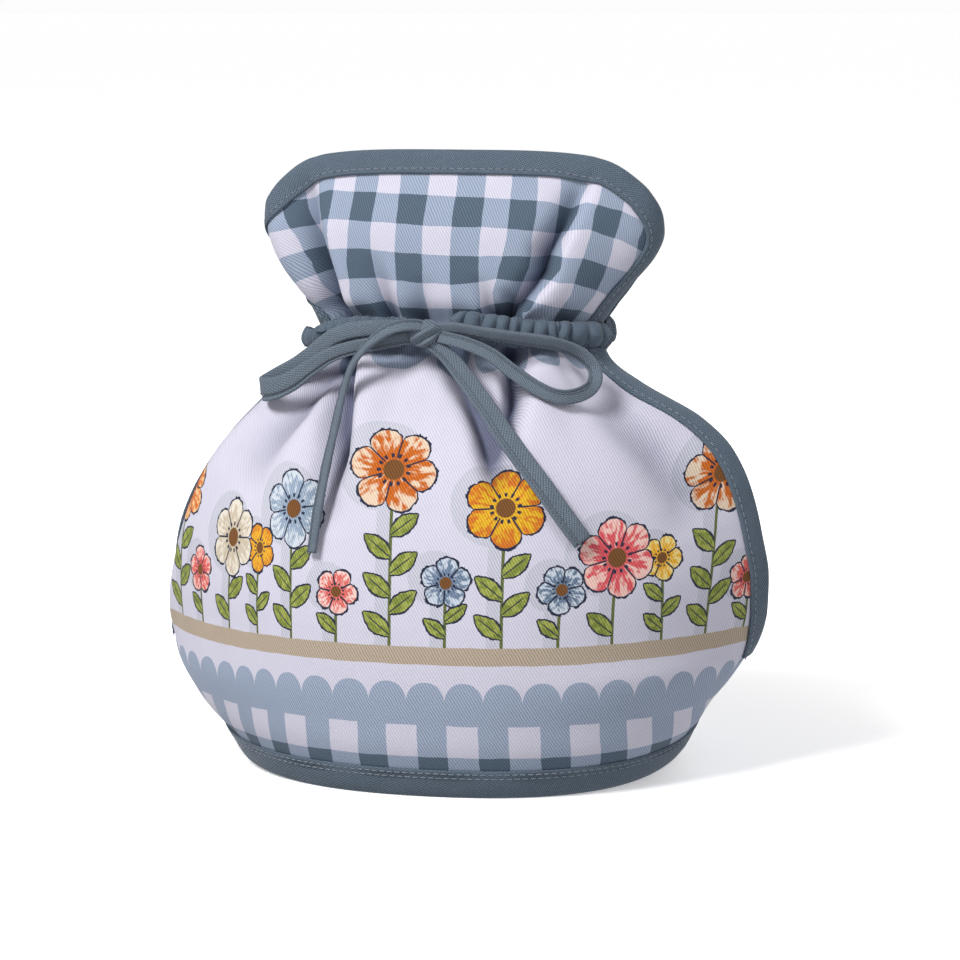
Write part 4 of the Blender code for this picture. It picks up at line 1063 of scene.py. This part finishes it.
# Weave: spacing of its lines, which way they climb, strength of the lines, of the cross threads and of the
# fuzz, height of the bump in mm, and how much it shades pale cloth and dark cloth.
weaveLook = {
    "twill": {"pitch": 0.82, "slope": (0.866, 0.5), "line": 0.40, "cross": 0.08, "fuzz": 0.30, "bump": 0.10,
              "shade": (0.03, 0.30)},
    "plain": {"pitch": 0.66, "slope": (0.5, 0.866), "line": 0.26, "cross": 0.26, "fuzz": 0.80, "bump": 0.10,
              "shade": (0.3, 0.62)},
}


def weaveNodes(work, u, v, s):  # the weave as a height from 0 to 1, and a soft mottle
    run = work.plus(work.times(u, s["slope"][0]), work.times(v, s["slope"][1]))
    place = work.vector(u, v)
    drift = work.times(work.noise(place, 0.25, 1.0), 0.5)
    line = work.math("SINE", work.times(work.plus(run, drift), 2 * math.pi / s["pitch"]))
    across = work.minus(work.times(u, s["slope"][1]), work.times(v, s["slope"][0]))
    weft = work.math("SINE", work.times(across, 2 * math.pi / (s["pitch"] * 0.8)))
    height = work.scaled(line, s["line"], 0.5 - s["fuzz"] / 2)
    height = work.scaled(weft, s["cross"], height)
    fuzz = work.noise(place, 1.9, 3.0, 0.65)
    return work.scaled(fuzz, s["fuzz"], height), work.noise(place, 0.09, 3.0)


def finishCloth(work, colour, u, v, s, rough, sheen):
    weave, mottle = weaveNodes(work, u, v, s)
    shader = work.add("ShaderNodeBsdfPrincipled")
    grey = work.add("ShaderNodeRGBToBW")
    work.put(grey.inputs[0], colour)
    low, high = s["shade"]
    shade = work.scaled(work.step(grey.outputs[0], 0.65, 0.35), high - low, low)
    level = work.scaled(work.minus(weave, 0.5), work.times(shade, 2.0), 1.0)
    level = work.times(level, work.scaled(mottle, 0.08, 0.96))
    tint = work.add("ShaderNodeCombineColor")
    for k in range(3):
        work.put(tint.inputs[k], level)
    work.put(shader.inputs["Base Color"], work.mix(1.0, colour, tint.outputs[0], "MULTIPLY"))
    work.put(shader.inputs["Roughness"], work.scaled(weave, -0.10, rough))
    shader.inputs["Specular IOR Level"].default_value = 0.2
    shader.inputs["Sheen Weight"].default_value = sheen
    shader.inputs["Sheen Roughness"].default_value = 0.45
    bump = work.add("ShaderNodeBump")
    bump.inputs["Strength"].default_value = 0.5
    bump.inputs["Distance"].default_value = s["bump"] * mm
    work.put(bump.inputs["Height"], weave)
    work.put(shader.inputs["Normal"], bump.outputs[0])
    work.surface(shader)


def newMaterial(name):
    material = bpy.data.materials.new(name)
    material.use_nodes = True
    material.node_tree.nodes.clear()
    return material, NodeWork(material.node_tree)


plainLook = {"colour": tone(90, 104, 119), "worn": tone(114, 127, 142)}
ribbonLook = {"colour": tone(103, 115, 128), "worn": tone(128, 140, 152)}


def plainCotton(name, s):
    material, work = newMaterial(name)
    place, u, v = work.clothMap()
    faded = work.step(work.noise(place, 0.35, 4.0, 0.65), 0.45, 0.75)
    colour = work.mix(work.times(faded, 0.2), s["colour"], s["worn"])
    finishCloth(work, colour, u, v, weaveLook["plain"], 0.9, 0.1)
    return material


# The print: bands up the cloth in mm, and its colours; shade is no print colour but the tint of the painted
# shade in the creases.
printLook = {
    "ground": tone(218, 216, 233),
    "light": tone(160, 173, 196),
    "dark": tone(88, 105, 123),
    "tan": tone(186, 170, 152),
    # tint of the painted shade, multiplied into the cloth deep in its creases
    "shade": (0.23, 0.255, 0.33, 1.0),
    "ink": tone(38, 44, 66),
    "wash": tone(203, 204, 218),
    "stem": tone(98, 110, 60),
    "leaf": tone(128, 140, 62),
    "paleLeaf": tone(164, 172, 86),
    "heart": tone(120, 78, 40),
    "stripe": (44.0, 49.4),
    "scallopPitch": 11.72,
    "scallopTop": 38.6,
    "scallopDepth": 6.3,
    "square": (14.8, 25.1),
    "column": (6.2, 18.6, 9.5),
    "frillColumn": (0.3, 18.1, 9.15),
    "frillRow": (186.4, 17.74, 8.95),
    "frillFoot": 150.5,
    "hanging": (139.0, 11.0),
}


def stripes(work, value, start, period, width, soft=0.12):  # 1 inside each stripe
    place = work.wrap(work.minus(value, start), period)
    inside = work.times(work.step(place, -soft, soft), work.below(place, width, soft))
    return work.plus(inside, work.step(place, period - soft, period + soft))


# Flower rows: cell is the room for one plant; each table has one row per plant, repeated along the cloth.
flowerRows = (
    {   # tall large blossoms
        "cell": 34.0, "shift": 6.0, "petals": 6.0, "leaf": 11.6,
        # height of the blossom's middle above the stripe, its radius, sideways place
        "plants": (
            (43.0, 12.6, 0.0), (27.0, 12.4, 1.0), (51.0, 13.2, 3.0), (33.0, 12.0, -1.5), (46.0, 11.0, 0.0),
            (30.0, 12.0, 1.5), (42.0, 12.0, 0.5), (29.0, 12.0, 2.0), (40.0, 12.2, -1.0), (54.0, 13.6, -1.0),
        ),
        "petal": (
            (232, 180, 40), (226, 92, 100), (204, 106, 34), (196, 178, 150), (234, 188, 40),
            (150, 170, 196), (222, 118, 50), (206, 192, 170), (150, 168, 190), (202, 104, 32),
        ),
        "shade": (
            (214, 120, 40), (250, 206, 196), (236, 214, 190), (232, 222, 206), (214, 126, 40),
            (206, 216, 230), (250, 206, 150), (236, 228, 214), (214, 222, 232), (236, 210, 184),
        ),
    },
    {   # smaller blossoms between them
        "cell": 34.0, "shift": 23.0, "petals": 5.0, "leaf": 9.4,
        "plants": (
            (18.0, 7.6, 1.0), (26.0, 7.2, -1.0), (17.0, 7.4, -2.0), (24.0, 7.6, 1.0), (18.0, 7.0, 0.0),
            (22.0, 7.4, 1.0), (17.0, 7.4, -1.0), (27.0, 7.6, 1.0), (16.0, 7.0, 0.0), (20.0, 7.8, 0.0),
        ),
        "petal": (
            (104, 124, 150), (238, 178, 50), (230, 104, 100), (150, 170, 196), (224, 128, 52),
            (238, 178, 50), (228, 98, 96), (238, 178, 50), (226, 110, 104), (112, 132, 158),
        ),
        "shade": (
            (208, 218, 230), (248, 226, 150), (250, 210, 200), (222, 228, 238), (248, 196, 130),
            (214, 122, 40), (248, 200, 190), (216, 134, 44), (250, 214, 206), (206, 216, 230),
        ),
    },
)


def flowerRow(work, u, v, s, look):  # where its wash lies, and its layers from the lowest up
    count = len(s["plants"])
    place = work.vector(u, v)
    rough = work.minus(work.noise(place, 0.55, 2.0), 0.5)
    cellAt = work.over(work.minus(u, s["shift"]), s["cell"])
    index = work.math("FLOOR", cellAt)
    key = work.over(work.plus(work.wrap(index, float(count)), 0.5), float(count))
    stops = [(k / count, (p[0] / 100, p[1] / 100, (p[2] + 50) / 100)) for k, p in enumerate(s["plants"])]
    facts = work.add("ShaderNodeSeparateColor")
    work.put(facts.inputs[0], work.ramp(key, stops))
    tall = work.times(facts.outputs[0], 100.0)
    radius = work.times(facts.outputs[1], 100.0)
    aside = work.minus(work.times(facts.outputs[2], 100.0), 50.0)
    petal = work.ramp(key, [(k / count, tone(*c)) for k, c in enumerate(s["petal"])])
    shade = work.ramp(key, [(k / count, tone(*c)) for k, c in enumerate(s["shade"])])
    local = work.times(work.minus(work.minus(cellAt, index), 0.5), s["cell"])
    rise = work.minus(v, look["stripe"][1] - 0.6)
    # stem, leaning to where the blossom sits
    share = work.over(rise, tall)
    stemAt = work.times(aside, work.times(share, share))
    fromStem = work.minus(local, stemAt)
    apart = work.size(fromStem)
    along = work.times(work.step(rise, 0.0, 0.4), work.below(rise, tall))
    stem = work.times(work.below(apart, 0.5), along)
    # leaves climb the stem by turns, whole ones only
    pitch = s["leaf"]
    turn = work.times(work.math("SIGN", fromStem), 2.4)
    leafCell = work.over(work.plus(rise, turn), pitch)
    leafIndex = work.math("FLOOR", leafCell)
    leafRise = work.times(work.minus(leafCell, leafIndex), pitch)
    a = work.plus(work.times(leafRise, 0.62), work.times(apart, 0.78))
    b = work.minus(work.times(leafRise, 0.78), work.times(apart, 0.62))
    b = work.minus(b, 1.2)
    t = work.over(a, pitch)
    wide = work.times(work.times(t, work.minus(1.0, t)), 0.94 * pitch)
    leafEdge = work.size(b)
    foot = work.minus(work.times(leafIndex, pitch), turn)
    stay = work.times(work.step(foot, 0.2, 0.4),
                     work.below(foot, work.minus(work.minus(tall, radius), 0.5 * pitch)))
    reach = work.times(work.step(t, 0.0, 0.03), work.below(t, 1.0, 0.02))
    reach = work.times(reach, stay)
    leaf = work.times(work.below(leafEdge, wide, 0.1), reach)
    rim = work.size(work.minus(leafEdge, work.plus(wide, rough)))
    leafLine = work.times(work.below(rim, 0.30, 0.1), reach)
    vein = work.times(work.below(leafEdge, 0.18, 0.08), work.times(reach, work.below(t, 0.8)))
    # blossom
    offU = work.minus(local, aside)
    offV = work.minus(rise, tall)
    away = work.span(offU, offV)
    angle = work.plus(work.math("ARCTAN2", offV, offU), work.times(key, 9.0))
    lobe = work.size(work.math("COSINE", work.times(angle, s["petals"] / 2)))
    edge = work.times(radius, work.scaled(work.math("POWER", lobe, 0.55), 0.30, 0.70))
    edge = work.scaled(rough, 1.5, edge)
    inside = work.below(away, edge, 0.12)
    thick = work.scaled(rough, 0.7, 0.36)
    outline = work.below(work.size(work.minus(away, edge)), thick, 0.1)
    share = work.over(away, radius)
    split = work.times(work.times(lobe, away), 2 / s["petals"])
    split = work.times(work.below(split, 0.26, 0.1), work.times(work.step(share, 0.25, 0.3), inside))
    brush = work.noise(work.vector(work.times(angle, 2.6), work.times(share, 1.6), key), 2.4, 3.0)
    painted = work.mix(work.step(work.scaled(share, -0.35, brush), 0.16, 0.34), shade, petal)
    heart = work.below(share, 0.24, 0.02)
    seeds = work.times(work.below(work.size(work.minus(share, 0.34)), 0.05, 0.02),
                      work.step(work.math("SINE", work.times(angle, 13.0)), 0.0, 0.5))
    # soft wash behind, a little up and to the left
    washU, washV = work.plus(offU, 3.4), work.minus(offV, 1.4)
    washAway = work.span(washU, washV)
    wash = work.below(washAway, work.times(radius, 1.06), 0.3)
    stemWash = work.times(work.below(work.size(work.plus(fromStem, 2.6)), 2.0, 0.2), along)
    wash = work.times(work.math("MAXIMUM", wash, stemWash), work.step(rise, 0.2, 0.5))
    mottled = work.step(work.noise(place, 0.4, 2.0), 0.42, 0.6)
    green = work.mix(mottled, look["leaf"], look["paleLeaf"])
    return wash, (
        (stem, look["stem"]), (leaf, green), (work.math("MAXIMUM", leafLine, vein), look["ink"]),
        (inside, painted), (work.math("MAXIMUM", outline, split), look["ink"]),
        (work.times(heart, inside), look["heart"]), (work.times(seeds, inside), look["ink"]),
    )


def printedCotton(name, look):
    material, work = newMaterial(name)
    place, u, v = work.clothMap()
    waver = work.times(work.minus(work.noise(place, 0.12, 3.0), 0.5), 0.9)
    softU, softV = work.plus(u, waver), work.plus(v, waver)
    colour = look["ground"]
    plants = [flowerRow(work, u, v, row, look) for row in reversed(flowerRows)]
    for wash, _ in plants:
        colour = work.mix(wash, colour, look["wash"])
    for _, layers in plants:
        for mask, ink in layers:
            colour = work.mix(mask, colour, ink)
    # tan stripe
    stripe = work.times(work.step(softV, look["stripe"][0] - 0.15, look["stripe"][0] + 0.15),
                       work.below(softV, look["stripe"][1], 0.15))
    colour = work.mix(stripe, colour, look["tan"])
    # scalloped border and the checks under it
    start = look["scallopPitch"] / 2
    arch = work.minus(work.wrap(work.plus(u, start), look["scallopPitch"]), start)
    arch = work.over(work.size(arch), start)
    dome = work.math("SQRT", work.math("MAXIMUM", work.minus(1.0, work.math("POWER", arch, 2.2)), 0.0))
    rim = work.scaled(dome, look["scallopDepth"], look["scallopTop"] - look["scallopDepth"])
    border = work.below(softV, rim, 0.12)
    light, dark, ground = look["light"], look["dark"], look["ground"]
    white = stripes(work, softU, *look["column"])
    square = work.times(white, work.below(softV, look["square"][1]))
    foot = work.below(softV, look["square"][0])
    low = work.mix(square, light, ground)
    low = work.mix(foot, low, work.mix(white, dark, light))
    colour = work.mix(border, colour, low)
    # hanging scallops under the waist, then the frill's checks
    bottom, deep = look["hanging"]
    swing = work.wrap(work.attribute("hang"), 1.0)
    swing = work.size(work.scaled(swing, 2.0, -1.0))
    hang = work.math("SQRT", work.minus(1.0, work.math("POWER", swing, 2.4)))
    lip = work.scaled(hang, -deep, bottom + deep)
    colour = work.mix(work.step(work.minus(softV, lip), -0.12, 0.12), colour, light)
    column = stripes(work, softU, *look["frillColumn"])
    row = stripes(work, softV, *look["frillRow"])
    both = work.times(column, row)
    checks = work.mix(work.math("MAXIMUM", column, row), ground, light)
    checks = work.mix(both, checks, dark)
    colour = work.mix(work.step(v, look["frillFoot"] - 0.1, look["frillFoot"] + 0.1), colour, checks)
    paler = work.mix(0.72, colour, look["ground"])  # the print shows faintly through to the inside
    colour = work.mix(work.attribute("inside"), colour, paler)
    # painted shade: the cloth darkens towards the shade tint where it lies deep in a crease or just under the
    # casing
    colour = work.mix(work.attribute("fold"), colour, look["shade"], "MULTIPLY")
    finishCloth(work, colour, u, v, weaveLook["twill"], 0.9, 0.08)
    return material


def darker(colour, share):
    return tuple(share * c for c in colour[:3]) + (1.0,)


def threadMaterial(name, colour):
    material, work = newMaterial(name)
    place = work.add("ShaderNodeTexCoord").outputs["Object"]
    strands = work.noise(place, 2600.0, 2.0)
    along = work.attribute("along")
    paintedHoleShade = work.step(work.size(along), 0.62, 0.84)  # painted shade: each stitch's ends are darkened where it dips into its needle holes
    shader = work.add("ShaderNodeBsdfPrincipled")
    strand = work.mix(strands, darker(colour, 0.8), colour)
    work.put(shader.inputs["Base Color"], work.mix(paintedHoleShade, strand, darker(colour, 0.12)))
    work.put(shader.inputs["Roughness"], work.scaled(strands, 0.2, 0.5))
    shader.inputs["Sheen Weight"].default_value = 0.2
    work.surface(shader)
    return material


printed = printedCotton("printedCottonTwill", printLook)
bias = plainCotton("plainCottonWeave", plainLook)
ribbon = plainCotton("tieCottonWeave", ribbonLook)
thread = threadMaterial("greyThread", tone(122, 134, 149))
# the tie's thread is dark all over: painted shade standing for its needle holes, which show as dark dashes
paintedShadeThread = threadMaterial("paintedShadeTieThread", tone(70, 80, 94))
print("tea cosy: cloths printed and woven")

for piece, material in (
    (frontCloth, printed), (backCloth, printed), (frontBinding, bias), (backBinding, bias),
    (hemBinding, bias), (casingLeft, bias), (casingRight, bias), (casingBack, bias), (tieRibbon, ribbon),
):
    piece.data.materials.append(material)

sewing = stitchTree()
bindingStitches = makeStitches("frontBindingStitches", frontSeams, sewing, thread, stitchLook)
backStitches = makeStitches("backBindingStitches", backSeams, sewing, thread, stitchLook)
hemStitches = makeStitches("hemStitches", hemSeams, sewing, thread, stitchLook)
tieStitches = makeStitches("tieStitches", tieSeams, sewing, paintedShadeThread, stitchLook)
casingStitches = makeStitches("casingStitches", leftEnds + rightEnds + backEnds, sewing, thread, stitchLook)
print("tea cosy: seams stitched")

# The world's brightness round the horizon, overhead and below, and between which heights it turns from one to
# the next; how the floor glows by itself close by and far off, between which distances in metres. The far
# glow keeps the floor an even white; the dimmer glow close by is a painted soft shadow round the cosy.
studio = {
    "horizon": 0.98, "overhead": 0.18, "below": 0.61, "turns": (0.03, 0.24), "underTurns": (0.0, -0.1),
    "glow": (0.36, 0.82), "glowAt": (0.09, 0.34), "floor": tone(240, 240, 241, 1.0),
    "floorShade": tone(233, 233, 235, 1.0), "floorSide": 60.0, "aim": (0.0, 0.0, 0.09),
    # each lamp's name, place, size, watts and colour
    "lamps": (
        ("keyLight", (-0.66, -0.95, 1.2), 0.5, 28.0, (1.0, 0.99, 0.98)),
        ("fillLight", (1.1, -1.1, 0.95), 0.8, 7.5, (0.97, 0.98, 1.0)),
        ("backLight", (0.6, 1.25, 1.0), 0.9, 12.0, (1.0, 1.0, 1.0)),
    ),
}


def areaLight(name, place, size, power, colour, aim):
    data = bpy.data.lights.new(name, "AREA")
    data.size = size
    data.energy = power
    data.color = colour
    lamp = placeObject(name, data)
    lamp.location = place
    lamp.rotation_euler = (Vector(aim) - Vector(place)).to_track_quat("-Z", "Y").to_euler()


def makeStudio(s):
    mesh = bpy.data.meshes.new("studioFloor")
    side = s["floorSide"]
    corners = [(-side, -side, 0), (side, -side, 0), (side, side, 0), (-side, side, 0)]
    mesh.from_pydata(corners, [], [(0, 1, 2, 3)])
    floor = placeObject("studioFloor", mesh)
    floor.visible_diffuse = False  # it throws no light up on the cloth
    material, work = newMaterial("paleFloor")
    place = work.add("ShaderNodeTexCoord").outputs["Object"]
    shader = work.add("ShaderNodeBsdfPrincipled")
    mottled = work.mix(work.noise(place, 3.0, 3.0), s["floor"], s["floorShade"])
    work.put(shader.inputs["Base Color"], mottled)
    shader.inputs["Roughness"].default_value = 0.9
    shader.inputs["Specular IOR Level"].default_value = 0.1
    shader.inputs["Emission Color"].default_value = (1.0, 1.0, 1.0, 1.0)
    lit = work.add("ShaderNodeVectorMath", operation="LENGTH")
    work.put(lit.inputs[0], place)
    # the floor's own glow is dimmer close to the cosy, a painted soft shadow round it, and evenly bright far
    # off
    near, far = s["glow"]
    ring = work.step(lit.outputs["Value"], *s["glowAt"])
    work.put(shader.inputs["Emission Strength"], work.scaled(ring, far - near, near))
    work.surface(shader)
    mesh.materials.append(material)
    world = bpy.data.worlds.new("paleStudio")
    world.use_nodes = True
    sky = NodeWork(world.node_tree)
    parts = sky.add("ShaderNodeSeparateXYZ")
    sky.put(parts.inputs[0], sky.add("ShaderNodeTexCoord").outputs["Generated"])
    high = sky.step(sky.size(parts.outputs[2]), *s["turns"])
    under = sky.step(parts.outputs[2], *s["underTurns"])
    away = sky.scaled(under, s["below"] - s["overhead"], s["overhead"])
    glow = world.node_tree.nodes["Background"]
    glow.inputs["Color"].default_value = (1.0, 1.0, 1.0, 1.0)
    away = sky.minus(away, s["horizon"])
    sky.put(glow.inputs["Strength"], sky.scaled(high, away, s["horizon"]))
    scene.world = world
    for lamp in s["lamps"]:
        areaLight(*lamp, s["aim"])
    scene.view_settings.view_transform = "Standard"
    scene.view_settings.look = "None"


makeStudio(studio)
print("tea cosy: studio lit")

rides = (
    (frontCloth, ("front_panel",), "printed_cotton"),
    (backCloth, ("back_panel",), "printed_cotton"),
    (frontBinding, ("front_binding",), "plain_cotton"),
    (backBinding, ("back_binding",), "plain_cotton"),
    (hemBinding, ("hem_binding",), "plain_cotton"),
    (casingLeft, ("front_casing_left",), "plain_cotton"),
    (casingRight, ("front_casing_right",), "plain_cotton"),
    (casingBack, ("back_casing",), "plain_cotton"),
    (tieRibbon, ("tie",), "plain_cotton"),
    (bindingStitches, (), "plain_cotton"),
    (backStitches, (), "plain_cotton"),
    (hemStitches, (), "plain_cotton"),
    (tieStitches, (), "plain_cotton"),
    (casingStitches, (), "plain_cotton"),
)
for piece, nodes, slot in rides:
    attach(piece, "root")
    if nodes:
        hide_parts(*nodes)

print("tea cosy: done")
